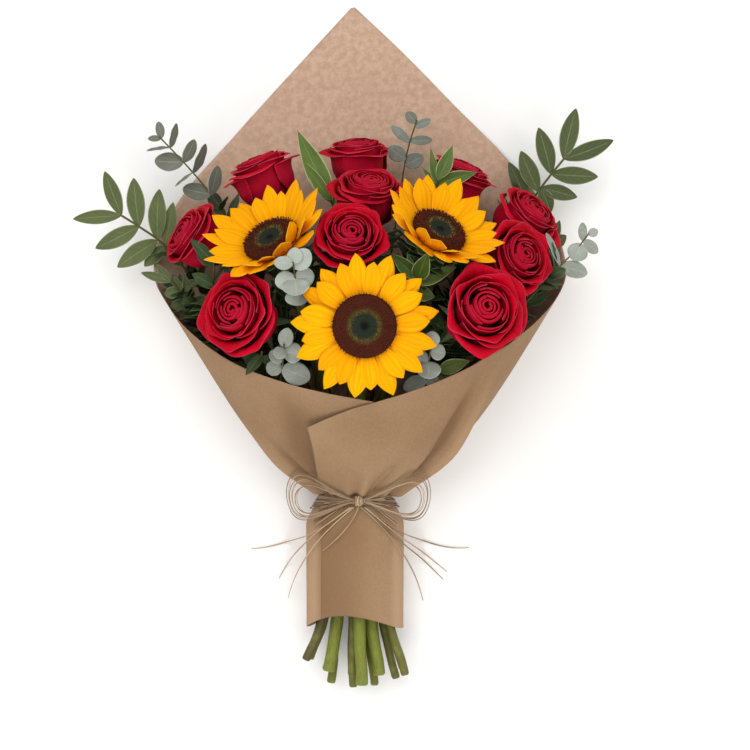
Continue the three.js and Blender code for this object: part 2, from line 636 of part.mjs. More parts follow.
// The stem's last stretch, which carries the leaves, bowed to one side.
function sprayLine({ from, to, bow }) {
  const [start, end] = [V(...from), V(...to)];
  const aside = V(end.y - start.y, start.x - end.x, 0).normalize();
  const middle = start.clone().lerp(end, 0.5).addScaledVector(aside, bow);
  return new THREE.QuadraticBezierCurve3(start, middle, end);
}

// ---------------------------------------------------------------- raffia

const KNOT_AT = V(NECK.x + TIE.aside, NECK.y - TIE.below, NECK.z + NECK.halfDepth + KNOT.over);

// The middle and half sizes of the sleeve at a height.
function sleeveAt(y) {
  const wide = sleeveWidening((y - PAPER.mouthY) / (NECK.y - PAPER.mouthY));
  return {
    z: lerp(NECK.z, SLEEVE.z, wide),
    halfWidth: lerp(NECK.halfWidth, SLEEVE.halfWidth, wide),
    halfDepth: lerp(NECK.halfDepth, SLEEVE.halfDepth, wide),
  };
}

// The binding: strands side by side round the neck, as one ridged ring.
function bindingGeometry() {
  const around = 16;
  const clear = PAPER.thick / 2 + PAPER.lap + 0.5;
  const width = RAFFIA.turns * 2 * RAFFIA.strand;
  const sections = Array.from({ length: around }, (_, k) => {
    const angle = (2 * PI * k) / around;
    const at = (out, y) => {
      const sleeve = sleeveAt(y);
      const x = NECK.x + (sleeve.halfWidth + clear + out) * Math.sin(angle);
      const z = sleeve.z + 0.9 - (sleeve.halfDepth + clear + out) * Math.cos(angle);
      return V(x, y, Math.max(z, out ? 0.05 : 0.55));
    };
    const ridges = Array.from({ length: 2 * RAFFIA.turns + 1 }, (_, i) => {
      const y = KNOT_AT.y + width / 2 - (i * width) / (2 * RAFFIA.turns);
      return at(i % 2 ? 2 * RAFFIA.strand : RAFFIA.strand, y);
    });
    return [at(0, KNOT_AT.y - width / 2), at(0, KNOT_AT.y + width / 2), ...ridges];
  });
  return ringOf(sections);
}

// A closed ring of sections, such as a torus with any section.
function ringOf(sections) {
  const [n, m] = [sections.length, sections[0].length];
  const faces = [];
  for (let i = 0; i < n; i++) {
    for (let k = 0; k < m; k++) {
      const [a, b] = [i * m + k, i * m + ((k + 1) % m)];
      const [c, d] = [((i + 1) % n) * m + ((k + 1) % m), ((i + 1) % n) * m + k];
      faces.push(a, c, b, a, d, c);
    }
  }
  const geometry = new THREE.BufferGeometry().setFromPoints(sections.flat());
  geometry.setIndex(faces);
  return geometry;
}

// Points of the wrap's front round the tie.
function paperFront() {
  const points = [];
  for (let i = 0; i <= 120; i++) {
    for (let j = 0; j <= 60; j++) {
      points.push(paperMiddle(lerp(-PI, PI, i / 120), lerp(0.12, 0.6, j / 60)));
    }
  }
  return points;
}

// Lifts the points that would dip into the paper.
function laidOver(points, paper, clear) {
  for (const p of points) {
    const near = paper.filter((q) => Math.max(Math.abs(q.x - p.x), Math.abs(q.y - p.y)) < 4);
    for (const q of near) p.z = Math.max(p.z, q.z + clear);
  }
  return points;
}

// One loop of the bow: out from the knot to one side and back. Its upper strand climbs the
// paper, and its lower one and its far end droop.
function bowLoop(sign, k, paper) {
  const steps = 10;
  const size = 1 - 0.14 * k;
  const points = Array.from({ length: steps + 1 }, (_, i) => {
    const swing = (PI * i) / steps;
    const out = RAFFIA.loopReach * size * Math.pow(Math.sin(swing), 0.7);
    const y = RAFFIA.loopRise * size * Math.sin(2 * swing) + 4 * Math.sin(swing) * (0.5 - k);
    const upper = smoothstep(y, -6, 6);
    const z = upper * 0.4 * y - lerp(0.012, 0.004, upper) * out * out;
    const apart = 3 * (0.5 - k) * Math.sin(swing);
    return V(sign * out, y, z + apart).add(KNOT_AT);
  });
  const laid = laidOver(points, paper, RAFFIA.clear + 1.4 * k);
  return tube(laid, points.map(() => RAFFIA.strand), 3);
}

function bowGeometry() {
  const knot = bare(new THREE.IcosahedronGeometry(1, 1)).scale(...KNOT.half);
  knot.translate(...KNOT_AT.toArray());
  const paper = paperFront();
  const loops = [-1, 1].flatMap((sign) =>
    Array.from({ length: RAFFIA.loops }, (_, k) => bowLoop(sign, k, paper)),
  );
  return joined([knot, ...loops]);
}

// How high the sleeve's front stands above the table at a place beside the knot, and how far
// out its side is there.
function sleeveFront(x, y) {
  const sleeve = sleeveAt(KNOT_AT.y + y);
  const side = sleeve.halfWidth + PAPER.lap;
  const inward = Math.min(Math.abs(x + TIE.aside) / side, TAIL.leaves);
  const height = sleeve.z + (sleeve.halfDepth + PAPER.lap) * Math.sqrt(1 - inward * inward);
  return { height, side: side * TAIL.leaves };
}

// A loose tail runs down over the sleeve's front, leaves it at its side and comes to lie on
// the table.
function tailGeometry([start, via, end], i) {
  const way = new THREE.QuadraticBezierCurve(
    new THREE.Vector2(start, -KNOT.half[1] - 0.4),
    new THREE.Vector2(...via),
    new THREE.Vector2(...end),
  );
  const points = way.getPoints(TAIL.steps).map(({ x, y }) => {
    const { height, side } = sleeveFront(x, y);
    const drop = smoothstep(Math.abs(x + TIE.aside) - side, 0, TAIL.falls);
    const z = lerp(height + TAIL.clear + TAIL.over * (i % 2), TAIL.radius + 0.2, drop);
    return V(KNOT_AT.x + x, KNOT_AT.y + y, z);
  });
  return tube(points, points.map(() => TAIL.radius), 3);
}

// ---------------------------------------------------------------- assembly

const bouquet = new THREE.Group();

// Places a head's own geometry, made with its back at the origin and facing +Z.
function placed(geometry, base, axis) {
  const turn = new THREE.Quaternion().setFromUnitVectors(UP, axis);
  return geometry.applyQuaternion(turn).translate(base.x, base.y, base.z);
}

const wrap = wrapGeometry(28, 3, [...SLEEVE_ROWS, ...FLARE_ROWS]);
bouquet.add(piece("kraft_wrap", wrap, MATERIAL.kraft));

const stems = [];

ROSES.forEach((rose, i) => {
  const axis = leaning(rose.lean, rose.to);
  const base = V(...rose.at).addScaledVector(axis, -HEART_HEIGHT * rose.radius);
  const bloom = placed(bloomGeometry(rose.radius, i), base, axis);
  bouquet.add(piece(`rose_${i + 1}_bloom`, bloom, MATERIAL.rose));
  stems.push({
    name: `rose_${i + 1}_stem`,
    material: MATERIAL.stem,
    radius: STEM.rose,
    sides: 5,
    from: base.clone().addScaledVector(axis, -9),
    axis,
    carries: [placed(calyx(rose.radius), base, axis)],
  });
});

SUNFLOWERS.forEach((flower, i) => {
  const axis = leaning(flower.lean, flower.to);
  const base = V(...flower.at).addScaledVector(axis, -5);
  const rays = placed(rayGeometry(flower), base, axis);
  const disc = placed(discGeometry(flower.radius), base, axis);
  bouquet.add(piece(`sunflower_${i + 1}_petals`, rays, MATERIAL.sunPetal));
  bouquet.add(piece(`sunflower_${i + 1}_disc`, disc, MATERIAL.sunDisc));
  stems.push({
    name: `sunflower_${i + 1}_stem`,
    material: MATERIAL.stem,
    radius: STEM.sunflower,
    sides: 6,
    from: base.clone().addScaledVector(axis, -14),
    axis,
    carries: [placed(receptacle(flower), base, axis)],
  });
});

const FAN = V(NECK.x, NECK.y, NECK.z); // where all the stems come together
for (const spray of SPRAYS) {
  const line = sprayLine(spray);
  const shape = LEAF_SHAPES[spray.shape];
  stems.push({
    name: spray.name,
    material: MATERIAL[spray.shape],
    radius: STEM.spray,
    sides: 3,
    from: V(...spray.from),
    axis: line.getTangent(0).lerp(V(...spray.from).sub(FAN).normalize(), 0.6).normalize(),
    onward: [0.5, 1].map((t) => line.getPoint(t)),
    carries: spray.leaves.map((leaf) => sprayLeaf(shape, line.getPoint(0.96 * leaf[0]), leaf)),
  });
}

const slots = neckSlots(stems);
stems.forEach((stem, i) => {
  const points = stemPath(stem, slots[i], i);
  const thinFrom = points.length - (stem.onward ? 2 : 0);
  const radii = points.map((_, k) => stem.radius * (k < thinFrom ? 1 : 0.7));
  const whole = joined([tube(points, radii, stem.sides), ...stem.carries]);
  bouquet.add(piece(stem.name, whole, stem.material));
});

bouquet.add(piece("raffia_binding", bindingGeometry(), MATERIAL.raffia));
bouquet.add(piece("raffia_bow", bowGeometry(), MATERIAL.raffia));
TAILS.forEach((way, i) => {
  bouquet.add(piece(`raffia_tail_${i + 1}`, tailGeometry(way, i), MATERIAL.raffia));
});

export default bouquet;
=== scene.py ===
"""A hand-tied bouquet of red roses, sunflowers and green sprays in kraft paper, tied with
raffia, laid on its back on a pale table and seen from above.

Sizes are in millimetres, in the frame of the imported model: +Z up from the table, +Y from the
cut stems to the paper's peak.
"""

import math

import bpy
import numpy as np
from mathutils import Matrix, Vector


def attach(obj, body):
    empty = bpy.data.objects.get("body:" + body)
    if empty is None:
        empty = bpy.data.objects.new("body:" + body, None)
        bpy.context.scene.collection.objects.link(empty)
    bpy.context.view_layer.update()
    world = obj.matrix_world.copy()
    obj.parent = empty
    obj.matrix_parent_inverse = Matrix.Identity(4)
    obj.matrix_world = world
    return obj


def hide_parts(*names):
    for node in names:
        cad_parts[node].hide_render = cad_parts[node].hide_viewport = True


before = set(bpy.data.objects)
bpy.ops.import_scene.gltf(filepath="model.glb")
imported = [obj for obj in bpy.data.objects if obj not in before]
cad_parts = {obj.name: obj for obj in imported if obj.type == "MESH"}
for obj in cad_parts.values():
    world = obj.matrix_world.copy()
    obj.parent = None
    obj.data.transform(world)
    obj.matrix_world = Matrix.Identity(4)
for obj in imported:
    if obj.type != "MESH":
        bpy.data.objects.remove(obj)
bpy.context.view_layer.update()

MM = 0.001
TAU = 2 * math.pi
UP = np.array([0.0, 0.0, 1.0])
GOLDEN_ANGLE = math.radians(137.508)

# ------------------------------------------------------------------ driving dimensions (mm)

CAMERA = {"at": (24, -22, 2080), "lens": 128, "sensor": 36}

# The sheet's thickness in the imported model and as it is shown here, how far the right side laps
# over the left, and the sleeve's wavy mouth.
PAPER = {"thick": 0.8, "shown": 0.4, "lap": 1.7, "mouth_y": -210.5, "arch": 5.5, "turn": 0.46}
NECK = {"x": 8.8, "y": -112, "z": 27, "half_width": 25, "half_depth": 25}
SLEEVE = {"half_width": 37, "half_depth": 29, "z": 27.5, "neck_share": 0.24, "full_share": 0.76}
# The flap goes past the front's middle by these angles, and its corner is cut back to a share.
FLAP = {"at_bottom": 0.73, "at_rim": 0.43, "corner_share": 0.815}
# How the cone's sides swell between the neck and the upper edge.
BELLY = {"out": 4.1, "aside": 1.8, "down": 25, "front": 5, "share": 0.43, "tight": 0.945}
# The sheet's upper edge, from the peak behind the flowers to the middle of the front.
LEFT_EDGE = [
    (7, 266, 0), (-39, 216, 0), (-84, 166, 0), (-123, 121, 7), (-142, 84, 22), (-144, 55, 46),
    (-134, 33, 71), (-117, 12, 94), (-86, -10, 115), (-50, -26, 129), (-14, -35, 137),
    (22, -42, 141),
]
RIGHT_EDGE = [
    (7, 266, 0), (45, 230, 0), (85, 189, 0), (125, 148, 6), (156, 106, 20), (169, 66, 44),
    (165, 42, 67), (147, 20, 90), (117, -1, 111), (86, -18, 127), (53, -32, 137),
    (22, -42, 141),
]

# Each head: the heart of its face, its lean from straight up, the compass direction that it
# leans to, and its radius.
ROSES = [
    ((10, 155, 52), 76, 92, 28), ((21, 123, 106), 61, 84, 29.5), ((7, 83, 150), 28, 84, 28.5),
    ((-80, 26, 148), 30, 158, 32.5), ((105.2, 27.6, 161.2), 22, 40, 34.5), ((-121, 86, 84), 68, 148, 29),
    ((-65, 141, 70), 82, 112, 29), ((92, 137, 61), 78, 68, 28.5), ((146, 104, 67), 64, 48, 29.5),
    ((135.6, 67.6, 116.8), 40, 26, 30),
]
# A sunflower's radius is its disc's. Then come how far its petals reach past it and the angle
# that they cup at.
SUNFLOWERS = [
    ((-53, 79, 136), 50, 118, 22, 27.5, 40), ((72, 85, 137.6), 50, 60, 21.5, 26.5, 40),
    ((16.5, 13, 165), 4, 270, 24.3, 29, 6),
]

# Each spray: its kind of leaf, where its leaves begin, where its stem ends, how far it bows, and
# its leaves: share of the way up, compass direction, rise, length, width and tilt.
SPRAYS = {
    "ruscus_spray_left": ("ruscus", (-136, 76, 42), (-170, 100, 56), 2, [
        (1, 184, 0, 37, 11, 0), (1, 111, 0, 36, 12, 0), (0.62, 96, 5, 37, 14, 0),
        (0.62, 207, 5, 37, 14, 0), (0.19, 88, 5, 39, 14, 0), (0.19, 214, 5, 37, 15, 0),
        (0.02, 79, 5, 34, 11, 0), (0.02, 225, 5, 22, 11, 0)]),
    "ruscus_spray_right": ("ruscus", (141, 106, 24), (169, 144, 48), -2, [
        (1, 76, 0, 40, 14, 0), (1, 21, 0, 41, 13, 0), (0.69, 105, 0, 37, 14, 0),
        (0.69, 357, 0, 36, 14, 0), (0.34, 113, 0, 34, 14, 0), (0.41, 346, 0, 29, 12, 0),
        (0.07, 115, 0, 37, 12, 0), (0.4, 294, 0, 20, 12, 0)]),
    "leafy_twig_right": ("ruscus", (153, 62, 36), (159, 76, 38), 0, [
        (1, 39, 8, 15, 10, 0), (0.3, 350, 40, 12, 9, 0), (1, 72, 0, 22, 8, 0)]),
    "eucalyptus_spray_left": ("eucalyptus", (-95, 107, 42), (-139, 158, 72), 3, [
        (1, 100, 0, 13, 7, 0), (1, 180, 0, 10, 5, 0), (0.86, 73, 0, 19, 11, 65),
        (0.86, 185, 0, 18, 10, 70), (0.64, 177, 0, 22, 15, 10), (0.64, 62, 0, 19, 11, 40),
        (0.48, 64, 0, 24, 14, 67), (0.48, 215, 0, 17, 9, 70), (0.16, 167, 0, 22, 14, 5),
        (0.16, 75, 0, 23, 11, 30)]),
    "eucalyptus_spray_top": ("eucalyptus", (46, 135, 30), (56, 173, 42), -2, [
        (0.89, 25, 0, 14, 7, 0), (0.97, 129, 0, 11, 9, 0), (0.57, 137, 0, 19, 8, 0),
        (0.61, 2, 0, 17, 8, 0), (0.23, 145, 0, 16, 13, 0), (0.11, 25, 0, 16, 13, 0)]),
    "eucalyptus_spray_right": ("eucalyptus", (162, 59, 84), (184, 84, 88), 2, [
        (0.81, 92, 0, 14, 7, 0), (1, 22, 0, 8, 7, 0), (0.74, 246, 0, 14, 16, 0),
        (0.84, 316, 0, 14, 9, 0), (0.03, 344, 0, 21, 13, 0), (0.02, 110, 0, 27, 11, 60)]),
    "eucalyptus_spray_middle": ("eucalyptus", (-32, 32, 132), (-35, 59.5, 164.9), 0, [
        (1, 178, 15, 14, 10, 0), (0.86, 50, 20, 18, 15, 0), (0.6, 275, 35, 15, 20, 0),
        (0.62, 195, 5, 15, 14, 0), (0.35, 281, 0, 13, 19, 0), (0.6, 9, 0, 14, 15, 0),
        (0.98, 80, 10, 12, 11, 0)]),
    "eucalyptus_spray_front_left": ("eucalyptus", (-46, -35, 110), (-42, 1, 142), 0, [
        (0.96, 77, 20, 15, 11, 0), (0.94, 234, 40, 11, 10, 0), (0.86, 354, 0, 14, 15, 0),
        (0.53, 338, 0, 22, 17, 0), (0.49, 169, 0, 12, 12, 0), (0.66, 142, 0, 12, 10, 0)]),
    "eucalyptus_spray_front_right": ("eucalyptus", (60, -35, 112), (65, 0, 146), 0, [
        (0.99, 84, 20, 12, 12, 0), (0.68, 268, 35, 15, 18, 0), (0.68, 164, 0, 14, 13, 0),
        (0.9, 352, 0, 11, 12, 0), (0.3, 204, 0, 18, 12, 0), (0.3, 337, 0, 11, 10, 0)]),
    "striped_leaves_back_left": ("lance", (-6, 101, 68), (-10, 110, 74), 0, [
        (0.76, 115, 0, 61, 17, 0), (1, 124, 0, 37, 9, 0), (0.4, 76, 0, 18, 6, 0)]),
    "striped_leaves_back_right": ("lance", (70, 113, 86), (71, 124, 94), 0, [
        (0.63, 100, 0, 29, 7, 0), (1, 67, 0, 28, 11, 0), (0.63, 18, 0, 31, 11, 0),
        (0.36, 124, 0, 20, 6, 0)]),
    "striped_leaves_middle": ("lance", (53, 35, 118), (55, 49, 132), 0, [
        (0.92, 68, 48, 30, 13, 0), (1, 136, 15, 27, 11, 0), (0.71, 23, 10, 32, 11, 0),
        (0.81, 108, 20, 24, 6, 0), (0.29, 346, 0, 15, 11, 0)]),
    "striped_leaves_front_right": ("lance", (72, -35, 104), (70, -18, 120), 0, [
        (0.82, 324, 0, 13, 12, 0), (0.73, 198, 0, 14, 12, 0), (1, 17, 0, 25, 11, 0)]),
    "rose_leaves_left": ("rose_leaf", (-96, 41, 92), (-95, 62, 108), 0, [
        (0.17, 151, 0, 19, 10, 0), (1, 135, 0, 25, 9, 0), (0.87, 146, 0, 16, 7, 0)]),
    "rose_leaves_front_left": ("rose_leaf", (-60, -20, 104), (-59, -5, 126), 0, [
        (0.9, 232, 8, 19, 8, 0), (0.5, 158, 16, 16, 11, 0), (0.8, 330, 0, 12, 7, 0)]),
    "leafy_twig_left": ("ruscus", (-108, 21, 66), (-130, 49, 76), 2, [
        (1, 163, 0, 24, 7, 0), (1, 130, 0, 18, 6, 0), (0.29, 103, 20, 26, 8, 0),
        (0.74, 194, 0, 12, 9, 0), (0.74, 29, 10, 16, 8, 0), (0.41, 191, 0, 15, 9, 0),
        (0.35, 30, 0, 13, 8, 0), (0.14, 198, 0, 14, 8, 0), (0.55, 119, 10, 19, 7, 0)]),
}

STEM = {"rose": 3.3, "sunflower": 4.7, "spray": 1.6, "gap": 0.5, "cut_y": -255, "spread": 20,
        "under_rose": 9, "under_sunflower": 14}
# How much wider and deeper the bunch of stems is than in the neck.
SPREAD = {"at_mouth": (1.62, 1.1), "at_cut": (2.5, 1.15)}
# The bow's reach and rise, and how far the knot is below and beside the neck's middle.
RAFFIA = {"reach": 54, "rise": 17.5, "below": 5.5, "aside": 2.5}
# The knot's half sizes, its height over the neck's front, and its strands as they are shown.
KNOT = {"half": (5, 4.5, 3.2), "over": 8.8, "strands": 17, "shown": 0.84}
# How wide the binding is at the knot and at the neck's sides, and the share of it above the knot.
BINDING = {"strands": 12, "wide": (3.0, 11.0), "above": 0.4}
# Of the bow's strands: how many a side, how much smaller each is than the one outside it, how
# much of that its reach follows, and its rise as a share of the bow's.
LOOP = {"strands": 7, "shrinks": 0.055, "narrower": 0.4, "rise": 0.92}
# Strands that fan out from the knot over the sleeve: how many a side, and how far down they end.
FAN = {"strands": 12, "down": (4, -26)}
# A tail lies clear of the sleeve, leaves it at a share of its half width and falls to the table.
TAIL = {"radius": 0.6, "steps": 24, "clear": 2, "over": 1.4, "leaves": 0.86, "falls": 22}
# Each tail: where it starts beside the knot, the point it bends towards, and its end, both from
# the knot.
TAILS = [
    (-6.5, (-46, -38), (-84, -40)), (-5, (-46, -30), (-62, -63)), (-3.5, (-44, -36), (-55, -78)),
    (0, (-5, -20), (-27, -38)), (6.5, (50, -43), (86, -39)), (5, (43, -37), (69, -58)),
    (3.5, (38, -36), (66, -64)), (2, (40, -36), (50, -80)),
]


# ------------------------------------------------------------------ points and curves


def vec(x, y, z):
    return np.array([x, y, z], float)


def unit(a):
    return a / np.maximum(np.linalg.norm(a, axis=-1, keepdims=True), 1e-12)


def lerp(a, b, t):
    return a + (b - a) * t


def smooth(x, low, high):
    t = np.clip((np.asarray(x, float) - low) / (high - low), 0, 1)
    return t * t * (3 - 2 * t)


def draw(seed, i):
    """A draw from 0 to 1 that is the same on every run."""
    v = math.sin(seed * 127.1 + i * 311.7) * 43758.5453
    return v - math.floor(v)


def leaning(lean, to):
    lean, to = math.radians(lean), math.radians(to)
    return vec(math.sin(lean) * math.cos(to), math.sin(lean) * math.sin(to), math.cos(lean))


def turned(a, axis, angle):
    """Vectors turned about an axis."""
    c, s = math.cos(angle), math.sin(angle)
    return a * c + np.cross(axis, a) * s + np.outer(a @ axis, axis).reshape(a.shape) * (1 - c)


def upright_to(axis):
    """The rotation that takes +Z to the axis by the shortest way, as three rows."""
    side = np.cross(UP, axis)
    sine, cosine = np.linalg.norm(side), float(UP @ axis)
    if sine < 1e-9:
        return np.eye(3)
    return turned(np.eye(3), side / sine, math.atan2(sine, cosine))


def spline(points, shares):
    """Catmull-Rom through points, at shares of the whole list."""
    p = np.asarray(points, float)
    p = np.vstack([2 * p[0] - p[1], p, 2 * p[-1] - p[-2]])
    t = np.clip(np.asarray(shares, float), 0, 1) * (len(points) - 1)
    i = np.minimum(t.astype(int), len(points) - 2)
    f = (t - i)[..., None]
    a, b, c, d = p[i], p[i + 1], p[i + 2], p[i + 3]
    bend = (2 * a - 5 * b + 4 * c - d) * f**2 + (3 * b - a - 3 * c + d) * f**3
    return 0.5 * (2 * b + (c - a) * f + bend)


def bezier(a, b, c, t):
    t = np.asarray(t, float)[..., None]
    return a * (1 - t) ** 2 + 2 * b * t * (1 - t) + c * t * t


def cubic(a, b, c, d, t):
    t = np.asarray(t, float)[..., None]
    return a * (1 - t) ** 3 + 3 * b * t * (1 - t) ** 2 + 3 * c * t * t * (1 - t) + d * t**3


def evenly(points, count):
    """The same line with its points at even distances."""
    p = np.asarray(points, float)
    along = np.concatenate([[0], np.cumsum(np.linalg.norm(np.diff(p, axis=0), axis=1))])
    at = np.linspace(0, along[-1], count)
    return np.stack([np.interp(at, along, p[:, k]) for k in range(3)], axis=1)


# ------------------------------------------------------------------ mesh building


def grid_faces(index, closed=False, flipped=False):
    """The faces of a grid of point numbers. closed joins its last column to its first."""
    if closed:
        index = np.concatenate([index, index[:, :1]], axis=1)
    a, b, c, d = index[:-1, :-1], index[:-1, 1:], index[1:, 1:], index[1:, :-1]
    return np.stack([a, d, c, b] if flipped else [a, b, c, d], -1).reshape(-1, 4)


def grid_rim(index):
    """The point numbers round the border of a grid."""
    return np.concatenate([index[0, :-1], index[:-1, -1], index[-1, :0:-1], index[:0:-1, 0]])


def in_scene(name, data, at=(0, 0, 0)):
    """A new object of the scene."""
    obj = bpy.data.objects.new(name, data)
    obj.location = at
    bpy.context.scene.collection.objects.link(obj)
    return obj


class Piece:
    """The points and faces of one piece. Each point also keeps its place on its petal or
    leaf: across (-1 to 1), along (0 to 1), a tone of its own, and its side (0 front, 1 back)."""

    def __init__(self):
        self.points, self.places, self.quads, self.finishes = [], [], [], []
        self.count = 0

    def add(self, points, quads, places, finish=0):
        points = np.asarray(points, float).reshape(-1, 3)
        self.points.append(points)
        self.places.append(np.asarray(places, float).reshape(-1, 4))
        self.quads.append(np.asarray(quads, int) + self.count)
        self.finishes.append(np.full(len(quads), finish))
        self.count += len(points)

    def shell(self, middle, thick, tone=0.0, finish=0, across=None, along=None):
        """A thin closed shell about a grid of points, rows along it and columns across it."""
        rows, columns = middle.shape[:2]
        normal = unit(np.cross(np.gradient(middle, axis=1), np.gradient(middle, axis=0)))
        half = np.broadcast_to(np.asarray(thick, float) / 2, (rows, columns))[..., None]
        place = np.zeros((2, rows, columns, 4))
        place[..., 0] = np.linspace(-1, 1, columns)[None, :] if across is None else across
        place[..., 1] = np.linspace(0, 1, rows)[:, None] if along is None else along
        place[..., 2] = tone
        place[1, ..., 3] = 1
        front, back = np.arange(2 * rows * columns).reshape(2, rows, columns)
        f, b = grid_rim(front), grid_rim(back)
        edge = np.stack([f, b, np.roll(b, -1), np.roll(f, -1)], -1)
        quads = np.concatenate([grid_faces(front), grid_faces(back, flipped=True), edge])
        self.add([middle + normal * half, middle - normal * half], quads, place, finish)

    def tube(self, points, radii, sides=8, tone=0.0, finish=0, flat=1.0, twist=0.0):
        """A closed tube along points. flat squeezes its section."""
        p = np.asarray(points, float)
        n = len(p)
        radii = np.broadcast_to(np.asarray(radii, float), (n,))
        tangent = unit(np.gradient(p, axis=0))
        side = np.cross(tangent[0], UP if abs(tangent[0][2]) < 0.9 else vec(1, 0, 0))
        angle = TAU * np.arange(sides) / sides
        rings = []
        for i in range(n):
            side = unit(side - tangent[i] * (side @ tangent[i]))
            turn = twist * i / n
            u = np.cos(angle) * radii[i]
            w = np.sin(angle) * radii[i] * flat
            x, y = u * math.cos(turn) - w * math.sin(turn), u * math.sin(turn) + w * math.cos(turn)
            rings.append(p[i] + np.outer(x, side) + np.outer(y, np.cross(tangent[i], side)))
        place = np.zeros((n, sides, 4))
        place[..., 0] = np.cos(angle)
        place[..., 1] = np.linspace(0, 1, n)[:, None]
        place[..., 2] = tone
        index = np.arange(n * sides).reshape(n, sides)
        self.add(rings, grid_faces(index, closed=True), place, finish)
        for end in (0, n - 1):
            self.lid(p[end], rings[end], end / (n - 1), tone, finish, flipped=end == 0)

    def lid(self, middle, rim, along, tone, finish, flipped):
        """The end of a tube. It is of side 1, as the place of a point says it."""
        sides = len(rim)
        shares = (1, 0.55, 0.08)
        rings = np.stack([rim, *(middle + (rim - middle) * share for share in shares[1:])])
        index = np.arange(3 * sides).reshape(3, sides)
        fan = np.array([index[2, [0, k, k + 1, k + 2]] for k in range(1, sides - 2, 2)])
        quads = np.concatenate([grid_faces(index, True, flipped), fan[:, ::-1] if flipped else fan])
        place = np.zeros((3, sides, 4))
        place[..., 0] = np.array([1, 0.55, 0])[:, None]
        place[..., 1] = along
        place[..., 2] = tone
        place[..., 3] = 1
        self.add(rings, quads, place, finish)

    def made(self, name, materials, nodes):
        """The piece as an object that stands for these solids."""
        points = np.concatenate(self.points) * MM
        quads = np.concatenate(self.quads)
        mesh = bpy.data.meshes.new(name)
        mesh.vertices.add(len(points))
        mesh.vertices.foreach_set("co", points.astype(np.float32).ravel())
        mesh.loops.add(quads.size)
        mesh.loops.foreach_set("vertex_index", quads.astype(np.int32).ravel())
        mesh.polygons.add(len(quads))
        finishes = np.concatenate(self.finishes)
        for key, values in (("loop_start", np.arange(0, quads.size, 4)), ("material_index", finishes)):
            mesh.polygons.foreach_set(key, values.astype(np.int32))
        mesh.polygons.foreach_set("use_smooth", np.ones(len(quads), bool))
        mesh.update(calc_edges=True)
        mesh.validate()
        place = mesh.attributes.new("place", "FLOAT_COLOR", "POINT")
        place.data.foreach_set("color", np.concatenate(self.places).astype(np.float32).ravel())
        for material in materials:
            mesh.materials.append(material)
        obj = in_scene(name, mesh)
        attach(obj, "root")
        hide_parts(*nodes)
        return obj


# ------------------------------------------------------------------ materials


def srgb(text):
    """A colour written as six hex digits, as linear numbers."""
    channels = [int(text[i : i + 2], 16) / 255 for i in (0, 2, 4)]
    linear = [c / 12.92 if c <= 0.04045 else ((c + 0.055) / 1.055) ** 2.4 for c in channels]
    return (*linear, 1.0)


class Finish:
    """A procedural material. place gives a point's place on its petal or leaf."""

    def __init__(self, name):
        self.material = bpy.data.materials.new(name)
        self.material.use_nodes = True
        self.tree = self.material.node_tree
        self.shader = self.tree.nodes["Principled BSDF"]
        attribute = self.node("ShaderNodeAttribute", attribute_name="place")
        apart = self.node("ShaderNodeSeparateColor", Color=attribute.outputs["Color"])
        self.across, self.along, self.tone = apart.outputs
        self.side = attribute.outputs["Alpha"]
        self.sideways = self.math("ABSOLUTE", self.across)
        self.spot = self.node("ShaderNodeTexCoord").outputs["Object"]

    def node(self, kind, **settings):
        node = self.tree.nodes.new(kind)
        for key, value in settings.items():
            if key in node.inputs:
                self.feed(node.inputs[key], value)
            else:
                setattr(node, key, value)
        return node

    def feed(self, socket, value):
        if isinstance(value, bpy.types.NodeSocket):
            self.tree.links.new(value, socket)
        else:
            socket.default_value = value

    def math(self, operation, a, b=0.0):
        node = self.node("ShaderNodeMath", operation=operation)
        self.feed(node.inputs[0], a)
        self.feed(node.inputs[1], b)
        return node.outputs[0]

    def times(self, a, b):
        return self.math("MULTIPLY", a, b)

    def ranged(self, value, low, high, to_low=0.0, to_high=1.0):
        """value eased from low..high to to_low..to_high, and held beyond."""
        node = self.node("ShaderNodeMapRange", interpolation_type="SMOOTHSTEP")
        for socket, number in zip(node.inputs, (value, low, high, to_low, to_high)):
            self.feed(socket, number)
        return node.outputs[0]

    def mixed(self, share, a, b):
        node = self.node("ShaderNodeMix", data_type="RGBA")
        self.feed(node.inputs[0], share)
        self.feed(node.inputs[6], srgb(a) if isinstance(a, str) else a)
        self.feed(node.inputs[7], srgb(b) if isinstance(b, str) else b)
        return node.outputs[2]

    def tint(self, colour, over, value, low, high, least=0.0, most=1.0):
        """The colour, with another over it: least where value is low, most where it is high."""
        return self.mixed(self.ranged(value, low, high, least, most), colour, over)

    def noise(self, scale, detail=3.0, stretch=(1, 1, 1), vector=None, rough=0.5):
        spread = self.node("ShaderNodeMapping", Scale=stretch, Vector=vector or self.spot)
        return self.node("ShaderNodeTexNoise", Vector=spread.outputs[0], Scale=scale,
                         Detail=detail, Roughness=rough).outputs[0]

    def on_place(self, across, along, tone):
        """The place as a vector, for grain that runs along a petal or leaf."""
        return self.node("ShaderNodeCombineXYZ", X=self.times(self.across, across),
                         Y=self.times(self.along, along), Z=self.times(self.tone, tone)).outputs[0]

    def bump(self, height, distance, strength=1.0, under=None):
        node = self.node("ShaderNodeBump", Height=height, Distance=distance * MM,
                         Strength=strength)
        if under is not None:
            self.feed(node.inputs["Normal"], under)
        return node.outputs[0]

    def done(self, colour, roughness, normal=None, specular=0.5):
        self.feed(self.shader.inputs["Base Color"], colour)
        self.shader.inputs["Roughness"].default_value = roughness
        self.shader.inputs["Specular IOR Level"].default_value = specular
        if normal is not None:
            self.feed(self.shader.inputs["Normal"], normal)
        return self.material


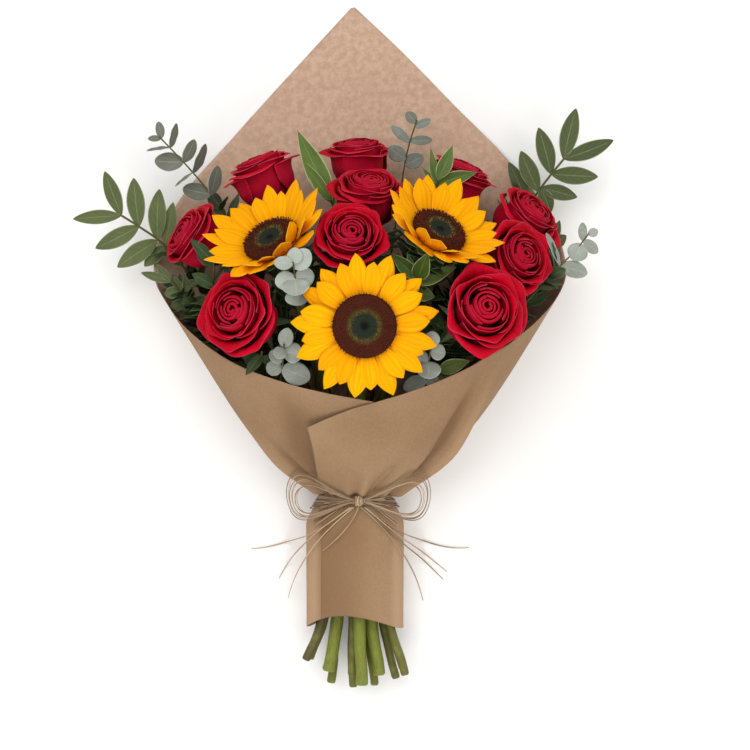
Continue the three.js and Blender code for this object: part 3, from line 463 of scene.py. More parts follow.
def edge_of(f):
    """How near a point is to its petal's rim, from 0 in the middle to 1 on it."""
    return f.math("MAXIMUM", f.math("POWER", f.sideways, 1.5), f.along)


def rose_finish():
    f = Finish("rose_petals")
    grain = f.noise(7, 4, vector=f.on_place(6, 0.6, 37))
    edge = edge_of(f)
    colour = f.tint("960012", "b8001c", f.noise(60, 2), 0.3, 0.7)
    colour = f.tint(colour, "cc0626", grain, 0.35, 0.7, 0, 0.5)
    # Painted shade: darker deep in the bloom, towards each petal's foot, where the crevices between petals
    # lie.
    colour = f.tint(colour, "4a000c", f.along, 0.0, 0.6, 0.7, 0.0)
    colour = f.mixed(f.times(f.math("SUBTRACT", 1.0, f.side), 0.35), colour, "901636")
    # Brighter red towards each petal's rim and a thin pale pink line on it, in patches: partly the petal's
    # own paler rim, partly a painted highlight along the rim.
    colour = f.tint(colour, "cc1436", edge, 0.90, 0.985, 0.0, 0.25)
    patchy_rim_and_highlight = f.ranged(f.noise(90, 2), 0.35, 0.6, 0.1, 0.55)
    colour = f.mixed(f.times(f.ranged(edge, 0.985, 0.998), patchy_rim_and_highlight), colour, "dc5a74")
    return f.done(colour, 0.6, f.bump(grain, 0.2, 0.4), 0.06)


def sunflower_petal_finish():
    f = Finish("sunflower_petals")
    grain = f.noise(4, 3, vector=f.on_place(6, 0.3, 23))
    colour = f.tint("e69200", "fcae00", grain, 0.35, 0.7)
    colour = f.tint(colour, "ffc000", f.tone, 0.0, 1.0, 0.0, 0.3)
    # Deeper orange towards the petal's root: partly the petal's own colour, partly painted shade beside the
    # disc.
    colour = f.tint(colour, "d97a00", f.along, 0.0, 0.45, 0.7, 0.0)
    # Painted shade: darker lines along the furrows, fading out near the tip.
    spacing = f.math("ADD", f.times(f.along, -3.0), 13.0)
    furrow = f.math("SINE", f.times(f.across, spacing))
    line = f.ranged(furrow, -1.0, -0.55, 1.0, 0.0)
    inner = f.ranged(f.along, 0.75, 0.95, 1.0, 0.0)
    colour = f.mixed(f.times(f.times(line, inner), 0.3), colour, "d98200")
    colour = f.tint(colour, "ffd04a", f.sideways, 0.93, 1.0, 0.0, 0.35)
    colour = f.mixed(f.times(f.side, 0.5), colour, "dc9a10")
    return f.done(colour, 0.6, f.bump(furrow, 0.15, 0.7, f.bump(grain, 0.25, 0.5)), 0.05)


def disc_finish():
    """Here across is how far a floret stands from the disc's middle, along its own height."""
    f = Finish("sunflower_disc")
    speck = f.noise(1, 0, vector=f.on_place(0, 0, 91))
    outer = f.tint("2a0f08", "5a2614", speck, 0.35, 0.65)
    outer = f.tint(outer, "7c3c20", f.along, 0.6, 1.0, 0.0, 0.55)
    ring = f.tint("2c2410", "8c7a36", speck, 0.46, 0.6)
    heart = f.tint("11160f", "2e3426", speck, 0.35, 0.65)
    ragged = f.math("ADD", f.across, f.times(speck, 0.12))
    colour = f.tint(heart, ring, ragged, 0.42, 0.54)
    colour = f.tint(colour, outer, ragged, 0.52, 0.68)
    colour = f.tint(colour, "050706", f.across, 0.06, 0.22, 0.85, 0.0)
    return f.done(colour, 0.85, specular=0.15)


def leaf_finish(name, dark, light, rib, edge, gloss, rim=0.1, veins=9.0, bloom=None, lit=0.3):
    """rim is how wide the paler edge is, as a share of the half width."""
    f = Finish(name)
    cloud = f.noise(70, 4)
    colour = f.tint(dark, light, f.tone, 0, 1)
    colour = f.tint(colour, dark, cloud, 0.3, 0.7, 0.0, 0.3)
    slant = f.math("SUBTRACT", f.times(f.along, veins), f.times(f.sideways, 1.6))
    vein = f.ranged(f.math("SINE", f.times(slant, TAU)), 0.85, 1.0)
    middle = f.ranged(f.sideways, 0.02, 0.08, 1.0, 0.0)
    colour = f.mixed(f.times(vein, 0.6 * lit), colour, rib)
    colour = f.mixed(f.times(middle, 1.6 * lit), colour, rib)
    colour = f.tint(colour, edge, f.sideways, 1 - rim, 1 - 0.4 * rim, 0.0, 0.85)
    colour = f.mixed(f.times(f.side, 0.4), colour, edge)
    if bloom is not None:
        dust = f.ranged(f.noise(160, 4, rough=0.7), 0.4, 0.75, 0.0, 0.45)
        colour = f.mixed(f.times(dust, f.ranged(f.tone, 0.0, 0.5, 0.15, 1.0)), colour, bloom)
    lines = f.bump(f.math("MAXIMUM", vein, middle), 0.25, 0.5)
    return f.done(colour, gloss, f.bump(cloud, 0.4, 0.3, lines), 0.25)


def stem_finish():
    """A low tone is a brown woody stem, a high one a bright green stem."""
    f = Finish("green_stems")
    grain = f.noise(3, 3, vector=f.on_place(3, 30, 17))
    colour = f.tint("463c26", "68682c", f.tone, 0.0, 0.5)
    colour = f.tint(colour, "7b882d", f.tone, 0.5, 1.0)
    colour = f.tint(colour, "574a28", grain, 0.35, 0.7, 0, 0.45)
    colour = f.tint(colour, "8a9640", f.noise(110, 3), 0.5, 0.75, 0, 0.35)
    cut = f.tint("b9b680", "828a42", f.across, 0.3, 0.9)
    return f.done(f.mixed(f.side, colour, cut), 0.5, f.bump(grain, 0.3, 0.5), 0.3)


def kraft_finish():
    """The paper's inner side is paler and more mottled than its outer side. Its tone is low in
    the hollow of a fold and high on a ridge, and the outer side is painted darker in the hollows
    as painted shade and paler on the ridges as painted highlight. On the sleeve the outer side is
    painted lighter at its flanks and darker at the front's middle, as painted light and shade."""
    f = Finish("kraft_paper")
    broad = f.noise(14, 3)
    mottle = f.noise(190, 3, rough=0.6)
    fine = f.noise(700, 3, rough=0.6)
    fibre = f.noise(330, 3, stretch=(1.5, 0.8, 1.0))
    outer = f.tint("907254", "9e8163", broad, 0.3, 0.7)
    outer = f.tint(outer, "ac8a67", fibre, 0.35, 0.7, 0.0, 0.2)
    outer = f.tint(outer, "7d5f43", fine, 0.35, 0.7, 0.0, 0.25)
    # Painted shade in the hollows of the folds, and painted highlight on their ridges.
    outer = f.tint(outer, "6e5239", f.tone, 0.5, 0.15, 0.0, 0.6)
    outer = f.tint(outer, "b3926f", f.tone, 0.5, 0.85, 0.0, 0.4)
    inner = f.tint("b99881", "cdad96", mottle, 0.3, 0.7)
    inner = f.tint(inner, "bb9a82", broad, 0.3, 0.7, 0.0, 0.3)
    inner = f.tint(inner, "9c7c66", fine, 0.35, 0.7, 0.0, 0.2)
    # Painted light and shade on the sleeve: lighter at its flanks and darker at the middle of its front.
    on_sleeve = f.ranged(f.along, 0.16, 0.3, 1.0, 0.0)
    painted_side_light = f.ranged(f.sideways, 0.54, 0.64, 0.6, 0.0)
    front = f.ranged(f.sideways, 0.62, 0.9, 0.0, 0.75)
    outer = f.mixed(f.times(painted_side_light, on_sleeve), outer, "bc9b7e")
    outer = f.mixed(f.times(front, on_sleeve), outer, "7f6145")
    normal = f.bump(fine, 0.1, 0.4, f.bump(mottle, 0.15, 0.4, f.bump(broad, 1.5, 0.3)))
    return f.done(f.mixed(f.side, outer, inner), 0.85, normal, 0.12)


def raffia_finish():
    f = Finish("raffia")
    grain = f.noise(4, 3, vector=f.on_place(4, 9, 41))
    colour = f.tint("8e755a", "c9b08e", f.tone, 0.1, 0.9)
    colour = f.tint(colour, "695540", grain, 0.35, 0.7, 0.0, 0.4)
    return f.done(colour, 0.65, f.bump(grain, 0.15, 0.6), 0.25)


# ------------------------------------------------------------------ stage, camera and lights

WORLD_LIGHT = 0.55
# Each light's place and size in metres, and its power in watts. All are aimed at one point.
LIGHTS = (("key", (-0.6, 0.8, 1.8), 1.6, 22), ("fill", (1.2, 0.4, 1.6), 1.6, 10),
          ("front", (0.1, -1.5, 1.3), 1.4, 17))
LIT_POINT = (0.0, 0.0, 0.08)


def make_stage():
    mesh = bpy.data.meshes.new("table_top")
    mesh.from_pydata([(-6, -6, 0), (6, -6, 0), (6, 6, 0), (-6, 6, 0)], [], [(0, 1, 2, 3)])
    mesh.materials.append(Finish("table_top").done(srgb("f6f5f3"), 0.7))
    in_scene("table_top", mesh)

    camera = bpy.data.cameras.new("camera")
    camera.lens = CAMERA["lens"]
    camera.sensor_width = CAMERA["sensor"]
    camera.clip_end = 100
    bpy.context.scene.camera = in_scene("camera", camera, [c * MM for c in CAMERA["at"]])

    world = bpy.data.worlds.new("studio")
    world.use_nodes = True
    background = world.node_tree.nodes["Background"]
    background.inputs[0].default_value = (1, 1, 1, 1)
    background.inputs[1].default_value = WORLD_LIGHT
    bpy.context.scene.world = world
    for name, at, size, energy in LIGHTS:
        light = bpy.data.lights.new(name, "AREA")
        light.size = size
        light.energy = energy
        lamp = in_scene(name, light, at)
        lamp.rotation_mode = "QUATERNION"
        aim = unit(np.array(LIT_POINT) - np.array(at))
        lamp.rotation_quaternion = Vector(aim).to_track_quat("-Z", "Y")
    bpy.context.scene.view_settings.view_transform = "Standard"


# ------------------------------------------------------------------ the raffia tie

KNOT_AT = vec(NECK["x"] + RAFFIA["aside"], NECK["y"] - RAFFIA["below"],
              NECK["z"] + NECK["half_depth"] + KNOT["over"])


def sleeve_share(y):
    """How far up the sleeve y is: 0 at its mouth, 1 at the neck."""
    return (y - PAPER["mouth_y"]) / (NECK["y"] - PAPER["mouth_y"])


def sleeve_section(share):
    """The sleeve's half width, its half depth and the height of its middle."""
    wide = 1 - smooth(share, SLEEVE["full_share"], 1)
    return [lerp(NECK[key], SLEEVE[key], wide) for key in ("half_width", "half_depth", "z")]


def sleeve_front(x, y, most=1):
    """The height of the sleeve's front beside the knot, and the sleeve's half width there. Past
    the share most of that half width the height stays the same."""
    side, deep, height = sleeve_section(sleeve_share(KNOT_AT[1] + y))
    side, deep = side + PAPER["lap"], deep + PAPER["lap"]
    inward = np.minimum(np.abs(x + RAFFIA["aside"]) / side, most)
    return height + deep * np.sqrt(1 - inward * inward), side


def tail_route(i, start, via, end):
    way = bezier(vec(start, -KNOT["half"][1] - 0.4, 0), vec(*via, 0), vec(*end, 0),
                 np.linspace(0, 1, TAIL["steps"] + 1))
    x, y = way[:, 0], way[:, 1]
    height, side = sleeve_front(x, y, TAIL["leaves"])
    drop = smooth(np.abs(x + RAFFIA["aside"]) - side * TAIL["leaves"], 0, TAIL["falls"])
    z = lerp(height + TAIL["clear"] + TAIL["over"] * (i % 2), TAIL["radius"] + 0.2, drop)
    return np.stack([KNOT_AT[0] + x, KNOT_AT[1] + y, z], axis=1)


def make_tails(finish):
    for i, tail in enumerate(TAILS):
        route = tail_route(i, *tail)
        piece = Piece()
        taper = lerp(1.0, 0.55, np.linspace(0, 1, len(route)) ** 3)
        piece.tube(route, TAIL["radius"] * taper, 8, tone=draw(3, i), flat=0.7, twist=5)
        node = f"raffia_tail_{i + 1}"
        obj = piece.made(f"raffia_end_{i + 1}", [finish], [node])


def strand(piece, route, rng, thick, twist, flat=0.75, tone=1.0):
    """A strand of a thickness and a tone of its own. thick is its least half width and how much
    may be added."""
    radius = thick[0] + thick[1] * rng.random()
    piece.tube(route, radius, 6, tone=tone * rng.random(), flat=flat, twist=twist)


def make_binding(finish):
    """Strands wound round the neck, close together at the knot and fanned out at the sides."""
    piece = Piece()
    rng = np.random.default_rng(11)
    clear = PAPER["thick"] / 2 + PAPER["lap"] + 0.5
    angle = TAU * np.arange(97) / 96
    for k in range(BINDING["strands"]):
        share = (k + 0.5) / BINDING["strands"] - BINDING["above"]
        fan = lerp(*BINDING["wide"], np.abs(np.sin(angle)) ** 0.8)
        wander = 0.7 * np.sin(angle + TAU * rng.random()) + 0.3 * np.sin(3 * angle + k)
        y = KNOT_AT[1] - fan * share + wander
        out = clear + 0.4 + 0.25 * (k % 3) + 0.05 * np.maximum(0, y - NECK["y"]) ** 2
        side, deep, _ = sleeve_section(sleeve_share(y))
        x = NECK["x"] + (side + out) * np.sin(angle)
        z = NECK["z"] + 0.9 - (deep + out) * np.cos(angle)
        route = np.stack([x, y, np.maximum(z, 0.6)], axis=1)
        strand(piece, route, rng, (0.34, 0.12), 9, flat=0.8, tone=0.7)
    piece.made("raffia_turns", [finish], ["raffia_binding"])


def paper_front():
    """Points of the wrap's front round the tie."""
    return paper_surface(np.linspace(-1, 1, 361), np.linspace(0.08, 0.7, 180)).reshape(-1, 3)


def laid_over(route, paper, clear):
    """The route, lifted where it would dip into the paper, and eased."""
    route = route.copy()
    for _ in range(3):
        for point in route:
            near = np.abs(paper[:, :2] - point[:2]).max(axis=1) < 2.2
            if near.any():
                point[2] = max(point[2], paper[near, 2].max() + clear)
        route[1:-1, 2] = route[:-2, 2] / 4 + route[1:-1, 2] / 2 + route[2:, 2] / 4
    return route


def bow_strand(sign, size, drop, turn):
    """One strand of the bow, from the knot out to a side and back under it."""
    swing = np.linspace(0, math.pi, 41)
    out = RAFFIA["reach"] * lerp(1, size, LOOP["narrower"]) * np.sin(swing) ** 0.7
    y = RAFFIA["rise"] * LOOP["rise"] * (size + 0.15 * turn) * np.sin(2 * swing)
    y += (2.5 + 3 * drop) * np.sin(swing) + 1.5 * np.sin(swing) ** 2 * turn
    upper = smooth(y, -6, 6)
    z = upper * 0.4 * y - lerp(0.008, 0.004, upper) * out * out + 3 * drop * np.sin(swing)
    return KNOT_AT + np.stack([sign * out, y, z], axis=1)


def fan_strand(sign, down, bend):
    """A strand from the knot over the sleeve to its side, a way down from the knot."""
    _, side = sleeve_front(0, down)
    end = sign * 0.97 * side - RAFFIA["aside"]
    way = bezier(vec(3 * sign, -0.06 * down, 0), vec(0.5 * end, 0.4 * down + bend, 0),
                 vec(end, down, 0), np.linspace(0, 1, 25))
    x, y = way[:, 0], way[:, 1]
    height, _ = sleeve_front(x, y)
    return np.stack([KNOT_AT[0] + x, KNOT_AT[1] + y, height + 1.0], axis=1)


def make_knot(piece, rng):
    """Strands wound side by side into a ball."""
    half = np.array(KNOT["half"]) * KNOT["shown"]
    angle = TAU * np.arange(33) / 32
    middle = (KNOT["strands"] - 1) / 2
    for k in range(KNOT["strands"]):
        lean = 2.2 * (rng.random() - 0.5)
        across = (k - middle) / (middle + 0.6)
        ring = math.sqrt(1 - across**2)
        way = np.stack([half[0] * across + lean * np.sin(angle), half[1] * ring * np.cos(angle),
                        half[2] * ring * np.sin(angle)], axis=1)
        strand(piece, KNOT_AT + way, rng, (0.34, 0.12), 3, flat=0.9)


def make_bow(finish):
    piece = Piece()
    rng = np.random.default_rng(7)
    paper = paper_front()
    for sign in (-1, 1):
        for k in range(LOOP["strands"]):
            size = 1.0 - LOOP["shrinks"] * k + 0.05 * rng.random()
            route = bow_strand(sign, size, 0.45 - 0.15 * k, 1.6 * (rng.random() - 0.5))
            route = laid_over(route, paper, 0.9 + 0.3 * (k % 3))
            strand(piece, route, rng, (0.34, 0.1), 6)
        for k in range(FAN["strands"]):
            down = lerp(*FAN["down"], (k + 0.6 * rng.random()) / FAN["strands"])
            route = laid_over(fan_strand(sign, down, 3 * (rng.random() - 0.3)), paper, 0.6)
            ending = smooth(np.linspace(0, 1, len(route)), 0.8, 1)
            route -= np.outer(ending, (4 * sign, 0, 5))
            strand(piece, route, rng, (0.28, 0.1), 4)
    make_knot(piece, rng)
    piece.made("raffia_loops", [finish], ["raffia_bow"])


# ------------------------------------------------------------------ the kraft wrap


def paper_middle(around, v):
    """Points of the paper's middle. around is the angle from the back, positive to the right,
    and v runs from the sleeve's mouth to the sheet's upper edge."""
    wrapped = np.where(np.abs(around) > math.pi, around - np.sign(around) * TAU, around)
    s, c = np.sin(wrapped), np.cos(wrapped)
    neck = np.stack([NECK["x"] + NECK["half_width"] * s, np.full_like(s, NECK["y"]),
                     NECK["z"] - NECK["half_depth"] * c], axis=-1)
    low = np.clip(v / SLEEVE["neck_share"], 0, 1)
    side, deep, height = sleeve_section(low)
    mouth = PAPER["mouth_y"] + PAPER["arch"] * np.cos(2 * wrapped - PAPER["turn"])
    sleeve = np.stack([NECK["x"] + side * s, lerp(mouth, NECK["y"], low), height - deep * c], axis=-1)
    share = np.abs(wrapped) / math.pi
    edge = np.where((wrapped < 0)[..., None], spline(LEFT_EDGE, share),
                    spline(RIGHT_EDGE, share))
    control = lerp(neck, edge, BELLY["share"])
    front = np.maximum(0, -c)
    control = control + np.stack([
        BELLY["out"] * s + BELLY["aside"] * np.abs(s),
        -BELLY["down"] * np.abs(s) - BELLY["front"] * front, BELLY["front"] * front], axis=-1)
    first, last = lerp(neck, control, BELLY["tight"]), lerp(edge, control, BELLY["tight"])
    past = np.maximum(0, np.abs(around) - math.pi) / FLAP["at_rim"]
    t = (v - SLEEVE["neck_share"]) / (1 - SLEEVE["neck_share"])
    flare = cubic(neck, first, last, edge, t * lerp(1, FLAP["corner_share"], past))
    p = np.where((v < SLEEVE["neck_share"])[..., None], sleeve, flare)
    p[..., 2] = np.maximum(p[..., 2], PAPER["thick"] / 2)
    return p


def paper_angle(u, v):
    return u * (math.pi + lerp(FLAP["at_bottom"], FLAP["at_rim"], smooth(v, 0, 1)))


# Pleats that run up from the tie: the angle where each leaves it and where it fades, how far up
# it reaches, its half width in radians, its height, and how much of it is a step (1) or a
# ridge (0). A step's lower side is towards the larger angle.
FOLDS = [
    (2.02, 2.32, 1.15, 0.11, 10.5, 1), (2.72, 2.6, 0.55, 0.09, 4.5, 1), (3.0, 3.12, 0.45, 0.08, 3.6, 0),
    (-2.62, -2.58, 1.3, 0.20, -6.5, 0), (-2.1, -2.2, 0.75, 0.12, -7.0, 1), (2.45, 2.5, 0.4, 0.07, 3.0, 0),
    (1.55, 1.3, 0.6, 0.15, 2.2, 0), (-1.5, -1.25, 0.6, 0.15, 2.2, 0),
    (3.32, 3.3, 0.4, 0.09, 2.2, 0), (0.7, 0.6, 0.5, 0.14, 1.2, 0), (-0.7, -0.6, 0.5, 0.14, 1.2, 0),
]


# Small gathers above the tie: their height, how far up they reach and their height below it. Then
# the height of the broad waves in the cone and in the sleeve, and how far the free flap lifts.
GATHER = {"height": 2.2, "reach": 0.1, "below": 0.4}
WAVE = {"cone": 0.7, "sleeve": 0.35, "flap": 2.5}


def paper_folds(around, v):
    """How far the folds and the paper's slight waves stand out."""
    up = (v - SLEEVE["neck_share"]) / (1 - SLEEVE["neck_share"])
    rise = np.zeros_like(around)
    for at_tie, at_top, reach, half, height, step in FOLDS:
        centre = lerp(at_tie, at_top, np.clip(up, 0, 1))
        off = (around - centre) / (half * lerp(1.2, 0.9, np.clip(up, 0, 1)))
        ridge = np.exp(-np.abs(off) ** 1.5)
        crest = lerp(ridge, -1.6 * off * np.exp(-(off**2)), step)
        fade = smooth(up, -0.02, 0.06) * (1 - smooth(up, 0.35 * reach, reach))
        rise += height * crest * fade
    gathers = np.abs(np.sin(around * 8 + 1.4 * np.sin(around * 3))) ** 0.8
    fading = np.exp(-((up / GATHER["reach"]) ** 2))
    rise += GATHER["height"] * gathers * fading * smooth(up, -0.06, 0.02)
    rise += GATHER["below"] * gathers * smooth(up, -0.3, -0.02) * (1 - smooth(up, -0.02, 0.02))
    rise += WAVE["cone"] * np.sin(around * 5 + 8 * v) * smooth(up, 0.1, 0.6)
    rise += WAVE["sleeve"] * np.sin(around * 7 + 1) * (1 - smooth(up, -0.1, 0))
    free_edge = smooth(around, math.pi, math.pi + FLAP["at_rim"]) * smooth(up, 0.2, 1)
    return rise + WAVE["flap"] * free_edge


def paper_surface(u, v):
    """The folded sheet's middle, with columns u and rows v. It lies on the table or above it."""
    uu, vv = np.meshgrid(u, v)
    around = paper_angle(uu, vv)
    middle = paper_middle(around, vv)
    step = 0.004
    inward = np.where(uu > 0, -step, step)
    beside = paper_middle(paper_angle(uu + inward, vv), vv)
    along_u = (beside - middle) * np.sign(inward)[..., None]
    back = vv > 1 - step
    stepped = vv + np.where(back, -step, step)
    above = paper_middle(paper_angle(uu, stepped), stepped)
    along_v = (above - middle) * np.where(back, -1, 1)[..., None]
    outward = unit(np.cross(along_v, along_u))
    lap = PAPER["lap"] * smooth(around, 0.55 * math.pi, 0.85 * math.pi)
    middle = middle + outward * (lap + paper_folds(around, vv))[..., None]
    middle[..., 2] = np.maximum(middle[..., 2], PAPER["shown"] / 2)
    return middle


def make_wrap(finish):
    """The whole sheet. Its rows are closest round the tie, and its columns are even."""
    flap_at = math.pi / (math.pi + FLAP["at_rim"])
    columns, flap_columns = 300, 26
    u = np.concatenate([np.linspace(-1, -flap_at, flap_columns)[:-1],
                        np.linspace(-flap_at, flap_at, columns),
                        np.linspace(flap_at, 1, flap_columns)[1:]])
    v = np.concatenate([np.linspace(0, 0.2, 40)[:-1], np.linspace(0.2, 0.42, 60)[:-1],
                        np.linspace(0.42, 1, 90)])
    middle = paper_surface(u, v)
    piece = Piece()
    uu, vv = np.meshgrid(u[::-1], v)
    # The tone is the height of the folds here: the paper's finish paints shade in the hollows and highlight
    # on the ridges from it.
    tone = np.clip(0.5 + paper_folds(paper_angle(uu, vv), vv) / 14, 0, 1)
    piece.shell(middle[:, ::-1], PAPER["shown"], tone=tone, across=uu, along=vv)
    piece.made("paper_wrap", [finish], ["kraft_wrap"])


# ------------------------------------------------------------------ roses

BLOOM_TALL = 1.16
HEART_HEIGHT = 1.22 * BLOOM_TALL
# bud is the share of the petals that stay closed, next how many petals further out the next
# rim on the same side is, crease how deep it lies, and flare how far an open petal's lip goes.
ROSE = {"petals": 20, "thick": 0.35, "heart": 0.03, "spread": 1.0, "opens": 1.0, "tall": 1.48,
        "drops": 0.36, "bud": 0.3, "next": 1.9, "crease": 0.05, "flare": 0.24, "lip": 0.36}


def rim_reach(f):
    """How far out the rim of a petal is: f is 0 at the heart and 1 outside."""
    return float(ROSE["heart"] + ROSE["spread"] * max(f, 0) ** ROSE["opens"])


def rim_height(reach):
    return ROSE["tall"] - ROSE["drops"] * min(reach, 1.1) ** 3


def rose_petal(piece, radius, place, f, turn, rng, tone):
    """Inner petals lean in, as in a bud, and outer ones open and roll back. f is 0 for the
    innermost petal and 1 for the outermost."""
    rows, columns = 26, int(lerp(37, 29, f))
    opened = float(smooth(f, ROSE["bud"], 0.95))
    reach = rim_reach(f) * (1 + 0.05 * (rng.random() - 0.5))
    next_reach = rim_reach(f + ROSE["next"] / ROSE["petals"])
    wall = lerp(next_reach - 0.016, reach - ROSE["flare"], opened)
    height = rim_height(reach) - 0.05 * (1 - f) ** 6
    sunk = height - rim_height(next_reach) + ROSE["crease"]
    deep = lerp(sunk, ROSE["lip"], opened)
    half = np.interp(f, [0, 0.35, 1], [2.2, 1.35, 1.18]) * (1 + 0.12 * (rng.random() - 0.5))
    rolled = 0.45 * opened * (0.3 + rng.random())
    # u runs across the petal and v up it. s is v, lower at the petal's corners.
    u = np.linspace(-1, 1, columns)[None, :]
    v = np.linspace(0, 1, rows)[:, None] ** 0.8
    corner = np.abs(u) ** 3
    s = v * (1 - lerp(0.1, 0.16, opened) * corner)
    # The lower part goes up the bloom's side, and the lip leans in, or flares and rolls back.
    low = np.clip(s / 0.6, 0, 1)
    q = np.clip((s - 0.6) / 0.4, 0, 1)
    base = lerp(0.03, 0.2, f)
    lean_in = (reach - wall) * (1 - np.cos(q * math.pi / 2)) + 0.025 * q**9
    flared = (reach - wall) * q**1.7
    r = base + (wall - base) * np.sin(low * math.pi / 2) ** lerp(0.8, 0.95, opened)
    r = r + lerp(lean_in, flared, opened)
    roll = lerp(math.pi / 2, math.pi / 2 + rolled, opened) * np.ones_like(corner)
    roll = roll * (1 + 0.35 * opened * corner)
    z = 0.03 + (height - deep - 0.03) * low**1.1 + deep * np.sin(q * roll)
    # The point at the middle of the rim, the hollow corners, and waves along the rim.
    point = np.exp(-((u / 0.16) ** 2)) * q**3
    r = r + 0.09 * point * smooth(f, 0.3, 0.8) - 0.07 * opened * q * corner
    r = r - lerp(0.02, 0.04, f) * u * smooth(s, 0, 0.4)
    r = r + lerp(0.008, 0.03, f) * q * np.sin(5 * u + TAU * rng.random())
    z = z + lerp(0.008, 0.035, f) * q * np.sin(4 * u + TAU * rng.random())
    angle = turn + half * u * lerp(0.45, 1.0, smooth(s, 0, 0.6))
    flat = np.stack([r * np.cos(angle), r * np.sin(angle), z], axis=-1) * radius
    middle = flat @ place[1] + place[0]
    piece.shell(middle, ROSE["thick"], tone=tone, along=np.broadcast_to(v, (rows, columns)))


def rose_base(rose):
    """Where a bloom sits on its stem, and its axis."""
    at, lean, to, radius = rose
    axis = leaning(lean, to)
    return np.array(at, float) - axis * HEART_HEIGHT * radius, axis


def make_rose(i, finish):
    base, axis = rose_base(ROSES[i])
    place = (base, upright_to(axis))
    rng = np.random.default_rng(100 + i)
    piece = Piece()
    for k in range(ROSE["petals"]):
        f = k / (ROSE["petals"] - 1)
        turn = i * 1.3 + k * GOLDEN_ANGLE + 0.5 * (rng.random() - 0.5)
        rose_petal(piece, ROSES[i][3], place, f, turn, rng, rng.random())
    piece.made(f"rose_{i + 1}_petals", [finish], [f"rose_{i + 1}_bloom"])


# ------------------------------------------------------------------ sunflowers

RAYS = 13
RAY = {"half": (7.6, 7.2), "thick": 0.45, "root": 3, "front_reach": 0.8}
# The petals on the side that a leaning head lifts are shorter and steeper. The few at a
# compass direction of their own curl over the disc.
LIFTED = {"shorter": 0.45, "steeper": 0.3}
CURLS = ({"to": 333, "wide": 26, "rise": 40}, {"to": 246, "wide": 34, "rise": 14},
         {"to": 0, "wide": 1, "rise": 0})
STEEPEST = 72
RAY_SHAPE = (0.5, 0.68, 0.83, 0.94, 1.0, 0.96, 0.79, 0.49, 0.02)


def about_axis(turn, out, aside, up):
    """Points out from an upright axis, aside and up, all turned about it."""
    outward, across = vec(math.cos(turn), math.sin(turn), 0), vec(-math.sin(turn), math.cos(turn), 0)
    return out[..., None] * outward + aside[..., None] * across + up[..., None] * UP


def ray_petal(piece, place, flower, layer, angle, reach, rise_angle, rng):
    """A pointed petal, domed across, with a few furrows along it."""
    start = flower[3] - RAY["root"]
    cup = math.tan(math.radians(min(rise_angle, STEEPEST)))
    t = (1 - np.cos(np.linspace(0, math.pi, 24)))[:, None] / 2
    u = np.linspace(-1, 1, 15)[None, :]
    half = RAY["half"][layer] * (1.0 + 0.16 * (rng.random() - 0.5))
    width = half * np.maximum(spline(np.array(RAY_SHAPE)[:, None] * [1, 0, 0], t[:, 0])[:, :1], 0.012)
    # A steep petal reaches less far out for the same length.
    slope = 1 / math.sqrt(1 + max(0.0, cup - 0.7) ** 2)
    out = start + (reach + RAY["root"]) * t * slope
    rise = (-2.2 if layer else -0.9) + reach * slope * (cup * t - 0.16 * t * t) - layer * 2.2 * t
    ends = 4.0 * (rng.random() - 0.55) * smooth(t, 0.5, 1)
    furrows = np.exp(-((np.abs(u) - 0.38) / 0.13) ** 2) - 0.5 * np.exp(-((u / 0.16) ** 2))
    fold = -0.5 * furrows * smooth(t, 0.02, 0.25) * (1 - 0.75 * t)
    dome = (0.06 - 0.26 * u**2) * width * smooth(t, 0.05, 0.4)
    twist = 0.5 * (rng.random() - 0.5) * u * width * smooth(t, 0.2, 1)
    aside = 3.0 * (rng.random() - 0.5) * smooth(t, 0.3, 1)
    flat = about_axis(angle, out, u * width + aside, rise + ends + fold + dome + twist)
    piece.shell((flat @ place[1] + place[0])[:, ::-1], RAY["thick"], tone=rng.random())


def make_sunflower(i, petal_finish, disc):
    flower, curl = SUNFLOWERS[i], CURLS[i]
    at, lean, to, radius, petal, cup_angle = flower
    axis = leaning(lean, to)
    place = (np.array(at, float) - axis * DISC["deep"], upright_to(axis))
    rng = np.random.default_rng(200 + i)
    piece = Piece()
    for layer in range(2):
        seed = radius + layer * 17 + petal
        for k in range(RAYS):
            angle = TAU * (k + layer * 0.5 + 0.25 * (draw(seed, k) - 0.5)) / RAYS
            lifted = max(0.0, -math.cos(angle - math.radians(to))) ** 1.2 * smooth(lean, 10, 40)
            reach = petal * (1 if layer else RAY["front_reach"]) * (0.93 + 0.12 * draw(seed, k + 40))
            off = (math.degrees(angle) - curl["to"] + 180) % 360 - 180
            curls = math.exp(-((off / curl["wide"]) ** 2)) * (1 - layer) * (curl["rise"] > 0)
            reach *= 1 - LIFTED["shorter"] * lifted * (1 - curls)
            rise = cup_angle * (1 + LIFTED["steeper"] * lifted * (1 - layer)) + curl["rise"] * curls
            rise += 12 * (draw(seed, k + 80) - 0.5)
            ray_petal(piece, place, flower, layer, angle, reach, rise, rng)
    name = f"sunflower_{i + 1}"
    piece.made(f"{name}_rays", [petal_finish], [f"{name}_petals"])
    make_disc(name, radius, place, disc, rng)


# The disc's back is deep below the middle of its face. Its florets stand on a bed.
DISC = {"florets": 900, "open": 0.58, "bed": 0.95, "deep": 5}
FLORET_LEVELS = (0.0, 0.45, 0.85, 1.0)
# The kinds of florets from the heart outwards: the share of the disc's radius where each begins,
# its least height, how much taller it may be, and its half widths up its height.
FLORETS = ((0.0, 0.8, 0.4, (0.4, 0.44, 0.36, 0.15)), (0.43, 1.2, 0.7, (0.34, 0.36, 0.3, 0.1)),
           (DISC["open"], 1.4, 1.8, (0.3, 0.26, 0.32, 0.08)))
# The bed's height over the disc's back, at shares of its radius.
BED = ((0.0, 0.15, 0.3, 0.42, 0.5, 0.6, 0.75, 0.9, 1.0),
       (4.2, 4.3, 4.7, 5.3, 5.5, 5.6, 5.3, 4.2, 2.0))


